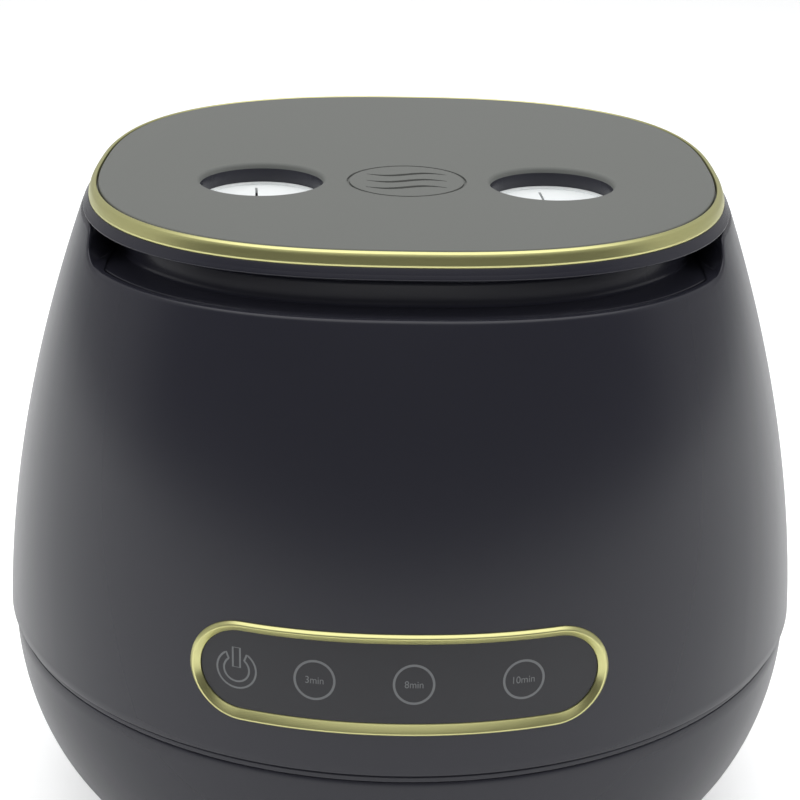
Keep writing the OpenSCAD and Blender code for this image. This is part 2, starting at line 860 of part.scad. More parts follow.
// Wave of the engraved mark: a strip along a sine, pointed at its ends
module wave_strip(length, swing, stroke) {
    steps = 16;
    function at(i) = length * (i / steps - 0.5);
    function mid(i) = -swing * sin(360 * i / steps);
    function half(i) = stroke / 2 * (0.25 + 0.75 * sin(180 * i / steps));
    polygon(concat(
        [for (i = [0:steps]) [at(i), mid(i) + half(i)]],
        [for (i = [steps:-1:0]) [at(i), mid(i) - half(i)]]
    ));
}

module lid_panel() {
    wave_pitch = icon_r * 0.41;
    color("#646662") difference() {
        prism(panel_half, lid_square, frame_top, body_h);
        for (s = [-1, 1]) at_vent(s) disc(vent_r, frame_top - 1, body_h + 1);
        translate([0, -vent_front, 0]) {
            tube(icon_r, icon_r - 0.6, body_h - engrave, body_h + 1);
            for (k = [-1:1]) translate([0, k * wave_pitch, body_h - engrave])
                linear_extrude(2) wave_strip(icon_r * 1.34, 1.5, 1.6);
        }
    }
}

module lid_trim_ring() {
    foot = body_h - ring_drop;
    section = [
        [ring_in_half, foot], [ring_foot_half, foot], [ring_foot_half + 0.1, foot + 0.5],
        [ring_in_half + 1.2, body_h + 0.1], [ring_in_half + 0.8, body_h + 0.4],
        [ring_in_half + 0.3, body_h + 0.35], [ring_in_half, body_h],
    ];
    color(gold) looped_loft([for (p = section) at_height(squircle(p.x, lid_square), p.y)]);
}

module lid_liner() {
    color(white_pp) difference() {
        union() {
            disc(liner_r, liner_under, liner_top);
            tube(plug_r, plug_r - 2, liner_under - plug_h, liner_under + eps);
            polar(lid_screw_angles, lid_screw_place)
                disc(boss_r - 0.5, liner_top - eps, frame_top - frame_plate_t);
        }
        for (s = [-1, 1]) at_vent(s) disc(collar_r + fit, liner_under - 1, liner_top + 1);
        polar(lid_screw_angles, lid_screw_place)
            disc(small_screw_r + fit, liner_under - 1, frame_top);
    }
}

module lid_screws() {
    color(steel) polar(lid_screw_angles, lid_screw_place)
        screw_up(liner_under, frame_top - frame_plate_t + 1.5 - liner_under, small_screw_r, small_head_r, small_head_h);
}

module lid_seal() {
    color("#5b5e63") difference() {
        tube(liner_r - 0.5, mouth_r - 1, collar_z + lid_gap, liner_under);
        polar(lid_screw_angles, lid_screw_place)
            disc(small_head_r + 0.4, collar_z, liner_under + 1);
    }
}

module vent_collar(side) {
    color("#101624") at_vent(side) {
        tube(collar_r, vent_r, liner_under, frame_top);
        tube(collar_r + 1.6, vent_r - 2, liner_under - 1.2, liner_under);
    }
}

module vent_collar_left() {
    vent_collar(-1);
}

module vent_collar_right() {
    vent_collar(1);
}

// White silicone disc with the slit that the steam pushes open
module vent_disc(side) {
    slit = [1, vent_r * 1.4];
    color("#eef0f0") at_vent(side) difference() {
        disc(vent_r - fit, liner_under, disc_z);
        translate([-2.5 - slit.x / 2, -slit.y / 2, liner_under - 1]) cube([slit.x, slit.y, 10]);
    }
}

module vent_disc_left() {
    vent_disc(-1);
}

module vent_disc_right() {
    vent_disc(1);
}

/* ---- Steam tray ---- */
tray_z = chamber_floor + tray_lift;
tray_r = chamber_r - tray_gap;
tray_rim_h = 8;
tray_leg_place = (pan_flange_r + tray_r) / 2 - 1;
tray_hole_rings = [1:3];
tray_hole_pitch = 17.5;
knob_stem_r = 3;

module steam_tray() {
    color("#d9dcdd") difference() {
        union() {
            disc(tray_r, tray_z, tray_z + tray_t);
            tube(tray_r, tray_r - 2, tray_z, tray_z + tray_rim_h);
            polar(quarters, tray_leg_place) disc(4, chamber_floor, tray_z + eps);
        }
        for (k = tray_hole_rings)
            polar([0:60 / k:359], k * tray_hole_pitch) disc(tray_hole_r, tray_z - 1, tray_z + tray_t + 1);
        disc(knob_stem_r + pin_fit, tray_z - 1, tray_z + tray_t + 1);
    }
}

module tray_knob() {
    top = tray_z + tray_t + knob_h;
    color("#2a2b2f") {
        disc(knob_stem_r, tray_z - 2, top - 5);
        disc(knob_stem_r + 2, tray_z - 2, tray_z);
        disc(knob_stem_r + 2.5, tray_z + tray_t, tray_z + tray_t + 2);
        translate([0, 0, top - 8]) rotate_extrude() polygon([
            [0, 0], [6, 0], [9, 2.5], [9, 5.5], [7, 8], [0, 8],
        ]);
    }
}

/* ---- Wiring ---- */
function softened(p) = concat(
    [p[0]],
    [for (i = [0:len(p) - 2]) each [0.75 * p[i] + 0.25 * p[i + 1], 0.25 * p[i] + 0.75 * p[i + 1]]],
    [p[len(p) - 1]]
);
function unit(v) = v / norm(v);

// Wire of radius r along a route, with square ends
module wire(route, r, sides = 8) {
    p = softened(softened(route));
    last = len(p) - 1;
    across = [0.9, -0.3, 0.3];
    function along(i) = unit(p[min(i + 1, last)] - p[max(i - 1, 0)]);
    function ring(i) =
        let (u = unit(cross(along(i), across)), v = cross(along(i), u))
        [for (k = [0:sides - 1]) p[i] + r * (cos(360 * k / sides) * u + sin(360 * k / sides) * v)];
    capped_loft([for (i = [last:-1:0]) ring(i)]);
}

terminal_angle = 57;
terminal_x = element_r * cos(terminal_angle);
terminal_y = -element_r * sin(terminal_angle);
pin_z = element_z - 8;

module heater_wire() {
    side = element_r + 2;
    high = pan_under - 9;
    wire([
        [block_pitch, block_y, block_z], [block_pitch, block_y, block_z + block_h],
        [side - 5, block_y - 14, high], [side + 1, block_y - 40, high],
        [terminal_x + 10, terminal_y + 2, pin_z - 4], [terminal_x, terminal_y, pin_z - 7],
        [terminal_x, terminal_y, pin_z],
    ], 0.9);
}

// Lead from the power board up behind the front wall to the control board
module control_lead() {
    start_y = board_y - board_d / 2 + 4;
    end_y = control_y + board_t;
    end_z = window_z - control_h / 2 + 6.5;
    wire([
        [0, start_y, board_top], [0, start_y, board_top + 9], [0, start_y - 27, board_top + 9.4],
        [0, end_y + 20, (board_top + seam_z) / 2 - 7], [0, end_y + 6.4, seam_z - 15],
        [0, end_y + 6.4, seam_z + 3], [0, end_y + 4.4, end_z], [0, end_y, end_z],
    ], 1.4);
}

module wiring() {
    color("#b03a2e") {
        heater_wire();
        mirror([1, 0, 0]) heater_wire();
        control_lead();
    }
}

base_housing();
bottom_cover();
cover_screws();
rubber_feet();
housing_screws();
seam_band();
cord_gland();
gland_nut();
power_board();
power_board_screws();
transformer();
relay();
capacitor();
terminal_block();
upper_housing();
top_deck();
deck_screws();
steam_chamber();
chamber_screws();
heating_pan();
pan_seal();
pan_clamp_ring();
pan_screws();
heating_element();
thermostat();
thermal_fuse();
wiring();
control_bezel();
control_window();
window_carrier();
control_board();
control_board_screws();
touch_springs();
indicator_leds();
buzzer();
hinge_bracket();
hinge_bracket_screws();
hinge_pin();
lid_frame();
lid_panel();
lid_trim_ring();
lid_liner();
lid_screws();
lid_seal();
vent_collar_left();
vent_collar_right();
vent_disc_left();
vent_disc_right();
steam_tray();
tray_knob();
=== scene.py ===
"""Facial steamer: a glossy pot with a hinged lid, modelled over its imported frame."""

import json
import math

import bmesh
import bpy
from bpy.props import FloatProperty, FloatVectorProperty, IntProperty, PointerProperty
from mathutils import Matrix, Vector


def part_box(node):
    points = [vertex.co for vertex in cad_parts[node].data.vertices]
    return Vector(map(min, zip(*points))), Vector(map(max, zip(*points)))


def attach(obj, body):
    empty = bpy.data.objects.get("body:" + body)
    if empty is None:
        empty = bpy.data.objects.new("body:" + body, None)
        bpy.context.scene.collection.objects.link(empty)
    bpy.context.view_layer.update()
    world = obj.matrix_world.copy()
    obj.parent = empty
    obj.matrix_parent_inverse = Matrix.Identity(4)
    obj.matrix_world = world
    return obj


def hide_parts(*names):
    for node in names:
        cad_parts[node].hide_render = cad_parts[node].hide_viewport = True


bl_info = {
    "name": "Facial Steamer",
    "version": (1, 0, 0),
    "blender": (4, 5, 0),
    "location": "3D View > Sidebar > Steamer",
    "description": "Builds the visible pieces and finishes of a facial steamer over its CAD frame",
    "category": "Object",
}

MM = 0.001
MERGE = 2e-7
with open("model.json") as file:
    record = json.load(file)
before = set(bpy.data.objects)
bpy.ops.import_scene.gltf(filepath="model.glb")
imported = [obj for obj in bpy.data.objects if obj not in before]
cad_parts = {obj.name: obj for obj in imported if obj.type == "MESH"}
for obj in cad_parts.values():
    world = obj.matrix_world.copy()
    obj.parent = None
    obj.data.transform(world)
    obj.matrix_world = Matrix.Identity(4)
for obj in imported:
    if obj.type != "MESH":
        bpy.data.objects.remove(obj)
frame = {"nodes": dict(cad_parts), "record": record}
BOX = {node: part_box(node) for node in frame["nodes"]}


def low(node, axis):
    """Lowest place of a node along an axis"""
    return BOX[node][0][axis]


def high(node, axis):
    """Highest place of a node along an axis"""
    return BOX[node][1][axis]


def mid(node, axis):
    return (low(node, axis) + high(node, axis)) / 2


# ---- Sizes and colours that a user may change ----


def length(name, description, default):
    return FloatProperty(name=name, description=description, default=default, unit="LENGTH", precision=5)


def count(name, description, default, least=3):
    return IntProperty(name=name, description=description, default=default, min=least)


def ratio(name, description, default):
    return FloatProperty(name=name, description=description, default=default, min=0.0, soft_max=4.0)


def colour(name, description, default):
    return FloatVectorProperty(
        name=name, description=description, default=default, subtype="COLOR", size=3, min=0.0, max=1.0
    )


class PotSizes(bpy.types.PropertyGroup):
    """Form of the housing and the base"""

    seam_half: length("Seam half width", "Half width of the housing at the seam", high("upper_housing", 0))
    seam_z: length("Seam height", "Height of the housing's bottom edge", low("upper_housing", 2))
    shoulder_half: length(
        "Shoulder half width", "Half width at the shoulder under the lid", high("lid_frame", 0) - 0.9 * MM
    )
    shoulder_z: length("Shoulder height", "Height of the housing's top edge", high("upper_housing", 2))
    lid_z: length("Lid height", "Height of the lid panel's top face", high("lid_panel", 2))
    bulge: length("Side bulge", "How far the side bows out past a straight line", 4.7 * MM)
    lid_square: ratio("Lid squareness", "Power of the lid's outline, where 2 is a circle", 2.52)
    wall: length("Wall", "Thickness of the moulded walls", 2.5 * MM)
    edge_round: length("Edge rounding", "Rounding of the housing's top edge", 1.25 * MM)
    recess_drop: length("Recess depth", "Depth of the finger recess below the shoulder", 8.7 * MM)
    recess_half: length("Recess half width", "Half width of the finger recess", 85 * MM)
    recess_corner: length("Recess corner", "Radius of the recess's lower corners", 4 * MM)
    notch_half: length("Notch half width", "Half width of the hinge notch", 32 * MM)
    collar_half: length("Collar half width", "Half width of the collar", high("top_deck", 0) - 9.4 * MM)
    columns: count("Columns", "Faces round the squared pieces", 192)
    rows: count("Rows", "Rows of faces up the housing", 52)


class LidSizes(bpy.types.PropertyGroup):
    """Form of the lid"""

    panel_half: length("Panel half width", "Half width of the lid's panel", high("lid_panel", 0))
    ring_half: length("Ring half width", "Half width of the gold ring's foot", high("lid_trim_ring", 0))
    ring_z: length("Ring foot height", "Height of the gold ring's foot", low("lid_trim_ring", 2))
    skirt_half: length("Skirt half width", "Half width of the lid's skirt", high("lid_frame", 0))
    vent_x: length("Vent place across", "Steam hole's distance from the middle", mid("vent_collar_right", 0))
    vent_y: length("Vent place", "Place of the steam holes along Y", mid("vent_collar_right", 1))
    vent_radius: length("Vent radius", "Radius of a steam hole", 17.3 * MM)
    vent_soft: length("Vent edge", "Rounding of the panel's edge at a steam hole", 1.1 * MM)
    mark_radius: length("Mark radius", "Outer radius of the engraved circle", 16.8 * MM)
    mark_stroke: length("Mark stroke", "Width of the engraved circle", 0.8 * MM)
    mark_depth: length("Mark depth", "Depth of the engraving", 0.6 * MM)
    wave_length: length("Wave length", "Length of an engraved wave", 22.5 * MM)
    wave_swing: length("Wave swing", "Swing of an engraved wave", 1.5 * MM)
    wave_stroke: length("Wave stroke", "Widest stroke of an engraved wave", 2.0 * MM)
    wave_pitch: length("Wave pitch", "Distance between the engraved waves", 6.9 * MM)


class ControlSizes(bpy.types.PropertyGroup):
    """Form of the control window and its gold bezel"""

    centre_z: length("Window height", "Height of the window's centre", mid("control_bezel", 2))
    bezel_half: length("Bezel half width", "Half width of the gold bezel", high("control_bezel", 0))
    bezel_high: length(
        "Bezel height", "Height of the gold bezel", high("control_bezel", 2) - low("control_bezel", 2)
    )
    band: length("Band", "Width of the bezel's band", 2.8 * MM)
    stand_out: length("Stand out", "How far the bezel stands out from the housing", 1.15 * MM)
    set_back: length("Set back", "How far the window sits behind the housing's face", 0.6 * MM)
    key_radius: length("Key radius", "Outer radius of a key's printed ring", 5.4 * MM)
    key_stroke: length("Key stroke", "Stroke of the printed marks", 0.62 * MM)


class Colours(bpy.types.PropertyGroup):
    """Colours of the main finishes, in linear values"""

    pot_black: colour("Pot black", "Glossy blue-black of the pot", (0.0022, 0.0036, 0.0075))
    lid_grey: colour("Lid grey", "Satin dark grey of the lid's panel", (0.085, 0.088, 0.083))
    gold: colour("Gold", "Pale polished gold of the trim", (0.82, 0.78, 0.36))
    window_black: colour("Window black", "Black of the touch window", (0.011, 0.011, 0.0115))
    print_grey: colour("Print grey", "Grey of the printed keys", (0.16, 0.165, 0.17))
    valve_white: colour("Valve white", "White of the steam valves", (0.66, 0.7, 0.74))
    floor: colour("Floor", "Pale colour of the floor", (0.86, 0.86, 0.86))


# ---- Form of the pot ----


def body_square(pot, z):
    """Squareness of the outline at a height, from the round seam to the squarer lid"""
    return 2 + (pot.lid_square - 2) * (z - pot.seam_z) / (pot.lid_z - pot.seam_z)


def half_width(pot, z):
    """Half width of the housing at a height, with its bulge"""
    rise = (z - pot.seam_z) / (pot.shoulder_z - pot.seam_z)
    straight = pot.seam_half + (pot.shoulder_half - pot.seam_half) * rise
    return straight + 4 * pot.bulge * rise * (1 - rise)


def reach(half, square, turn):
    """Distance of a squared outline from the middle, at an angle"""
    return half / (abs(math.cos(turn)) ** square + abs(math.sin(turn)) ** square) ** (1 / square)


def squared(half, square, z, turn):
    """Point of a squared outline at an angle"""
    r = reach(half, square, turn)
    return Vector((r * math.cos(turn), r * math.sin(turn), z))


def on_pot(pot, turn, z, out=0.0):
    """Point on the housing's face, or out from it"""
    return squared(half_width(pot, z) + out, body_square(pot, z), z, turn)


def turn_at(pot, x, z, back=False):
    """Angle of the point of the housing's face that has this x"""
    half, square = half_width(pot, z), body_square(pot, z)
    y = (half**square - abs(x) ** square) ** (1 / square)
    return math.atan2(y if back else -y, x)


def on_front(pot, x, z, out=0.0):
    """Point on the front of the housing that has this x, or out from it"""
    half, square = half_width(pot, z) + out, body_square(pot, z)
    return Vector((x, -((half**square - abs(x) ** square) ** (1 / square)), z))


def blend(a, b, share):
    return a + (b - a) * share


def arc_between(centre, radius, start, end, steps):
    """Points of an arc in the front view, angles in degrees"""
    turns = [math.radians(blend(start, end, k / steps)) for k in range(steps + 1)]
    return [(centre[0] + radius * math.cos(q), centre[1] + radius * math.sin(q)) for q in turns]


# ---- Modelling helpers ----


def new_sheet():
    """Empty mesh whose points remember their column round a ring"""
    bm = bmesh.new()
    bm.verts.layers.int.new("column")
    return bm


def first_ring(bm, columns, place):
    """Closed ring of edges with one point per column; place(column) gives each point"""
    layer = bm.verts.layers.int["column"]
    verts = bmesh.ops.create_circle(bm, cap_ends=False, radius=1, segments=columns)["verts"]
    edges = list({e for v in verts for e in v.link_edges})
    order = sorted(verts, key=lambda v: math.atan2(v.co.y, v.co.x) % math.tau)
    for column, vert in enumerate(order):
        vert[layer] = column
        vert.co = place(column)
    return edges


def next_ring(bm, edges, place):
    """Ring of edges extruded from the last one"""
    layer = bm.verts.layers.int["column"]
    grown = bmesh.ops.extrude_edge_only(bm, edges=edges)["geom"]
    for item in grown:
        if isinstance(item, bmesh.types.BMVert):
            item.co = place(item[layer])
    return [e for e in grown if isinstance(e, bmesh.types.BMEdge) and e.is_boundary]


def ring_stack(bm, columns, places, closed=True):
    """Skin through rings; a closed one comes back to its first ring"""
    edges = first = first_ring(bm, columns, places[0])
    for place in places[1:]:
        edges = next_ring(bm, edges, place)
    if closed:
        edges = next_ring(bm, edges, places[0])
    return first, edges


def squared_ring(half, square, z, columns):
    """Place of each column round a level squared outline"""
    return lambda column: squared(half, square, z, math.tau * column / columns)


def rounded(corners, steps=4, closed=True):
    """Outline with its corners rounded; each corner is (across, up, radius) in millimetres"""
    points = []
    total = len(corners)
    for k, (across, up, radius) in enumerate(corners):
        corner = Vector((across, up))
        if radius == 0 or (not closed and k in (0, total - 1)):
            points.append(corner)
            continue
        before = Vector(corners[k - 1][:2]) - corner
        after = Vector(corners[(k + 1) % total][:2]) - corner
        half_angle = before.angle(after) / 2
        start = corner + before.normalized() * radius / math.tan(half_angle)
        end = corner + after.normalized() * radius / math.tan(half_angle)
        bisector = (before.normalized() + after.normalized()).normalized()
        centre = corner + bisector * radius / math.sin(half_angle)
        swing = (start - centre).angle_signed(end - centre, 0)
        for step in range(steps + 1):
            spoke = start - centre
            spoke.rotate(Matrix.Rotation(-swing * step / steps, 2))
            points.append(centre + spoke)
    return [point * MM for point in points]


def spun(bm, outline, segments, centre=(0, 0), closed=True):
    """Ring or bowl spun round a vertical axis from an outline of (radius, height)"""
    verts = [bm.verts.new((centre[0] + p.x, centre[1], p.y)) for p in outline]
    ends = verts[1:] + verts[:1] if closed else verts[1:]
    edges = [bm.edges.new(pair) for pair in zip(verts, ends)]
    bmesh.ops.spin(
        bm,
        geom=verts + edges,
        cent=(centre[0], centre[1], 0),
        axis=(0, 0, 1),
        dvec=(0, 0, 0),
        angle=math.tau,
        steps=segments,
        use_merge=True,
    )
    bmesh.ops.remove_doubles(bm, verts=bm.verts, dist=1e-7)


def hang_piece(bm, name, body, slot, nodes=()):
    """Makes a piece of a mesh and hangs it on its body, in the finish of its slot"""
    mesh = bpy.data.meshes.new(name)
    bm.to_mesh(mesh)
    bm.free()
    piece = bpy.data.objects.new(name, mesh)
    bpy.context.scene.collection.objects.link(piece)
    mesh.materials.append(finish_of(slot))
    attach(piece, body)
    if nodes:
        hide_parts(*nodes)
    return piece


def finish_piece(bm, name, body, slot, nodes, sharp=32):
    """Closes and shades a piece, and hangs it; edges past the sharp angle stay crisp"""
    bmesh.ops.remove_doubles(bm, verts=bm.verts, dist=MERGE)
    bmesh.ops.recalc_face_normals(bm, faces=bm.faces)
    for face in bm.faces:
        face.smooth = True
    for edge in bm.edges:
        edge.smooth = edge.calc_face_angle(0) < math.radians(sharp)
    return hang_piece(bm, name, body, slot, nodes)


def add_mesh_of(bm, other):
    """Adds one bmesh to another, and frees it"""
    copy = bpy.data.meshes.new("part")
    other.to_mesh(copy)
    other.free()
    bm.from_mesh(copy)
    bpy.data.meshes.remove(copy)


def feed(tree, node, inputs):
    """Gives each input its value, or a link where it is given a socket"""
    for name, value in inputs.items():
        if isinstance(value, bpy.types.NodeSocket):
            tree.links.new(value, node.inputs[name])
        else:
            node.inputs[name].default_value = value


def add_node(tree, kind, inputs=None, **settings):
    """Shader node with its settings and inputs"""
    node = tree.nodes.new(kind)
    for name, value in settings.items():
        setattr(node, name, value)
    feed(tree, node, inputs or {})
    return node


# ---- Finishes ----

# Grain scale per metre, roughness from and to, bump depth in millimetres, colour change
GRAINS = {
    "gloss_black": (14, 0.09, 0.15, 0.0, 0.12),
    "lid_grey": (5200, 0.42, 0.5, 0.006, 0.1),
    "gold_trim": (90, 0.13, 0.24, 0.002, 0.06),
    "window_black": (30, 0.05, 0.1, 0.0, 0.1),
    "print_grey": (3000, 0.45, 0.6, 0.0, 0.08),
    "white_silicone": (700, 0.45, 0.6, 0.004, 0.05),
    "black_rubber": (900, 0.6, 0.8, 0.02, 0.15),
    "matte_black": (2600, 0.4, 0.55, 0.012, 0.15),
    "white_plastic": (1800, 0.3, 0.42, 0.004, 0.04),
    "grey_silicone": (800, 0.5, 0.65, 0.006, 0.08),
    "red_silicone": (800, 0.5, 0.65, 0.006, 0.1),
    "stainless": (60, 0.2, 0.34, 0.002, 0.08),
    "zinc_steel": (400, 0.3, 0.45, 0.004, 0.15),
    "pan_aluminium": (300, 0.32, 0.48, 0.006, 0.12),
    "element_sheath": (500, 0.45, 0.65, 0.01, 0.25),
    "board_green": (1500, 0.35, 0.5, 0.003, 0.15),
    "ceramic_white": (900, 0.4, 0.55, 0.004, 0.06),
    "coil_yellow": (1200, 0.4, 0.6, 0.01, 0.15),
    "relay_blue": (1600, 0.35, 0.5, 0.004, 0.08),
    "terminal_green": (1600, 0.35, 0.5, 0.004, 0.08),
    "spring_brass": (400, 0.22, 0.36, 0.002, 0.1),
    "led_clear": (600, 0.1, 0.2, 0.0, 0.05),
    "wire_red": (1100, 0.4, 0.55, 0.004, 0.1),
}
METALS = {"gold_trim", "stainless", "zinc_steel", "pan_aluminium", "element_sheath", "spring_brass"}
STREAKED = {"gold_trim": (1, 1, 22), "stainless": (1, 1, 40)}
PATCH_SCALE = 26.0


def slot_colour(slot):
    """Colour of a slot: a user's colour for the main ones, and otherwise the record's"""
    colours = bpy.context.scene.steamer_colours
    own = {
        "gloss_black": colours.pot_black,
        "lid_grey": colours.lid_grey,
        "gold_trim": colours.gold,
        "window_black": colours.window_black,
        "print_grey": colours.print_grey,
        "white_silicone": colours.valve_white,
    }
    if slot in own:
        return tuple(own[slot])
    for material in frame["record"]["materials"]:
        if material["slot"] == slot:
            return tuple(material["base_color"][:3])
    raise RuntimeError(f"no colour for the finish {slot}")


def finish_of(slot):
    """Material of a slot: colour drift, grain in its roughness, and a fine relief"""
    if slot in bpy.data.materials:
        return bpy.data.materials[slot]
    scale, rough_low, rough_high, relief, drift = GRAINS[slot]
    material = bpy.data.materials.new(slot)
    material.use_nodes = True
    tree = material.node_tree
    place = add_node(tree, "ShaderNodeTexCoord").outputs["Object"]
    streak = STREAKED.get(slot, (1, 1, 1))
    stretched = add_node(tree, "ShaderNodeMapping", {"Vector": place, "Scale": streak})
    grain = add_node(
        tree, "ShaderNodeTexNoise", {"Vector": stretched.outputs["Vector"], "Scale": scale, "Detail": 3.0}
    ).outputs["Fac"]
    rough = add_node(tree, "ShaderNodeMapRange", {
        "Value": grain, "From Min": 0.3, "From Max": 0.7, "To Min": rough_low, "To Max": rough_high,
    })
    patch = add_node(tree, "ShaderNodeTexNoise", {"Vector": place, "Scale": PATCH_SCALE, "Detail": 4.0})
    base = slot_colour(slot)
    tint = add_node(tree, "ShaderNodeMix", {
        "A": (*[c * (1 - drift) for c in base], 1),
        "B": (*[min(1, c * (1 + drift)) for c in base], 1),
        "Factor": patch.outputs["Fac"],
    }, data_type="RGBA")
    shader = tree.nodes["Principled BSDF"]
    feed(tree, shader, {
        "Metallic": 1.0 if slot in METALS else 0.0,
        "Roughness": rough.outputs["Result"],
        "Base Color": tint.outputs["Result"],
    })
    if relief:
        bump = add_node(tree, "ShaderNodeBump", {"Strength": 0.6, "Distance": relief * MM, "Height": grain})
        feed(tree, shader, {"Normal": bump.outputs["Normal"]})
    if slot == "led_clear":
        feed(tree, shader, {"Transmission Weight": 0.7})
    if slot == "white_silicone":
        feed(tree, shader, {"Subsurface Weight": 0.15, "Subsurface Scale": 2 * MM})
    return material


# ---- Housing ----

WEB_SLANT = Vector((-3.7 * MM, 11 * MM, 0))
WEB_REACH = 1.5
WEB_ROOT = 6.4 * MM
WEB_FADE = 20 * MM
WEB_RISE = 0.35 * MM
EDGE_STEPS = 5
NOTCH_STEPS = 10
SIDE_STEPS = 62
RECESS_STEPS = 44
SMALL_ROUND = 1.5 * MM


def edge_route(pot):
    """Half of the housing's top edge, from the hinge notch to the finger recess.

    Each step is (distance across, height, on the back, share of the recess's end web).
    """
    floor = pot.shoulder_z - pot.recess_drop
    top = pot.shoulder_z
    small = SMALL_ROUND
    notch, end, corner = pot.notch_half, pot.recess_half, pot.recess_corner
    route = [(notch * 0.95 * k / NOTCH_STEPS, floor, True, 0) for k in range(NOTCH_STEPS)]
    route += [(x, z, True, 0) for x, z in arc_between((notch - small, floor + small), small, -90, 0, 4)]
    route += [(notch, blend(floor + small, top - small, k / 4), True, 0) for k in (1, 2, 3)]
    route += [(x, z, True, 0) for x, z in arc_between((notch + small, top - small), small, 180, 90, 4)]
    start = turn_at(pot, notch + small, top, back=True)
    stop = -turn_at(pot, end + small, top)
    for k in range(1, SIDE_STEPS):
        turn = blend(start, -stop, k / SIDE_STEPS)
        point = on_pot(pot, turn, top)
        gap = (point - on_front(pot, end + small, top)).length
        route.append((point.x, top, point.y > 0, max(0, 1 - gap / WEB_FADE) ** 2))
    route += [(x, z, False, 1) for x, z in arc_between((end + small, top - small), small, 90, 180, 4)]
    route += [(end, blend(top - small, floor + corner, k / 4), False, 1) for k in (1, 2, 3)]
    for x, z in arc_between((end - corner, floor + corner), corner, 0, -90, 10):
        route.append((x, z, False, min(1, (z - floor) / WEB_RISE) ** 2))
    reach_x = end - corner
    route += [(reach_x * (1 - k / RECESS_STEPS), floor, False, 0) for k in range(1, RECESS_STEPS + 1)]
    return route


def full_edge(pot):
    """The whole top edge, anticlockwise from the back: (angle, height, side, web share)"""
    half = edge_route(pot)
    right = [(turn_at(pot, x, z, back), z, 1, web) for x, z, back, web in half]
    left = [(turn_at(pot, -x, z, back), z, -1, web) for x, z, back, web in half]
    return left + right[-2:0:-1]


def edge_section(pot, steps, points, tip, column):
    """Points over the edge's rounding to the top of the inner wall, at one step of the edge"""
    turn, z, side, web = steps[column]
    point = points[column]
    along = (points[(column + 1) % len(points)] - points[column - 1]).normalized()
    level = (on_pot(pot, turn + 0.01, z) - on_pot(pot, turn - 0.01, z)).normalized()
    upright = (on_pot(pot, turn, z + MM) - on_pot(pot, turn, z - MM)).normalized()
    normal = level.cross(upright).normalized()
    up = normal.cross(along).normalized()
    inward = Vector((-normal.x, -normal.y, 0)).normalized()
    web_tip = Vector((tip.x * side, tip.y, z))
    across = web_tip - point
    across.z = 0
    root = point + inward * pot.wall + level * side * WEB_ROOT
    root.z = z
    small = 0.4 * MM

    def row(k):
        plain_far = point + inward * pot.edge_round
        web_far = point + across.normalized() * pot.edge_round
        if k <= EDGE_STEPS:
            t = k / EDGE_STEPS
            far = blend(plain_far, web_far, web)
            near_point = point - up * pot.edge_round
            return near_point * (1 - t) ** 2 + point * 2 * t * (1 - t) + far * t * t
        plain = (
            point + inward * pot.wall * 0.7,
            point + inward * (pot.wall - small),
            point + inward * pot.wall - up * small,
            point + inward * pot.wall - up * 2 * small,
        )
        webbed = (
            blend(point, web_tip, 0.5),
            web_tip - across.normalized() * small,
            web_tip + level * side * small * 2,
            root,
        )
        pick = k - EDGE_STEPS - 1
        return blend(plain[pick], webbed[pick], web)

    return [row(k) for k in range(EDGE_STEPS + 5)]


def build_housing(context):
    """Housing as one skin: up the outside, over the edge, down the inside and under the foot"""
    pot, control = context.scene.steamer_pot, context.scene.steamer_controls
    steps = full_edge(pot)
    total = len(steps)
    points = [on_pot(pot, turn, z) for turn, z, _, _ in steps]
    lengths = [0.0]
    for k in range(total):
        lengths.append(lengths[-1] + (points[(k + 1) % total] - points[k]).length)
    seam_turns = [math.pi / 2 + math.tau * lengths[k] / lengths[-1] for k in range(total)]

    def near(turn, guide):
        return turn + math.tau * round((guide - turn) / math.tau)

    end = on_front(pot, pot.recess_half, pot.shoulder_z - pot.recess_drop + pot.recess_corner)
    tip = end + WEB_SLANT * WEB_REACH

    sections = [edge_section(pot, steps, points, tip, column) for column in range(total)]
    outer_top = [math.atan2(s[0].y, s[0].x) for s in sections]
    inner_top = [math.atan2(s[-1].y, s[-1].x) for s in sections]
    foot = 0.6 * MM
    rows = pot.rows

    def outer(share):
        def place(column):
            z = blend(pot.seam_z + foot, sections[column][0].z, share)
            turn = blend(seam_turns[column], near(outer_top[column], seam_turns[column]), share)
            return on_pot(pot, turn, z)

        return place

    def inner(share):
        def place(column):
            z = blend(pot.seam_z, sections[column][-1].z, share)
            turn = blend(seam_turns[column], near(inner_top[column], seam_turns[column]), share)
            flat = on_pot(pot, turn, z, -pot.wall)
            return blend(flat, sections[column][-1], max(0, share * 8 - 7))

        return place

    def under(drop, into):
        return lambda column: on_pot(pot, seam_turns[column], pot.seam_z + drop, -into)

    bm = new_sheet()
    places = [under(0, foot), under(foot * 0.3, foot * 0.3)] + [outer(k / rows) for k in range(rows + 1)]
    places += [(lambda column, k=k: sections[column][k]) for k in range(1, EDGE_STEPS + 5)]
    places += [inner(1 - k / rows) for k in range(1, rows + 1)]
    ring_stack(bm, total, places)
    cut_window(bm, pot, control)
    return finish_piece(bm, "housing_shell", "body", "gloss_black", ["upper_housing"], sharp=40)


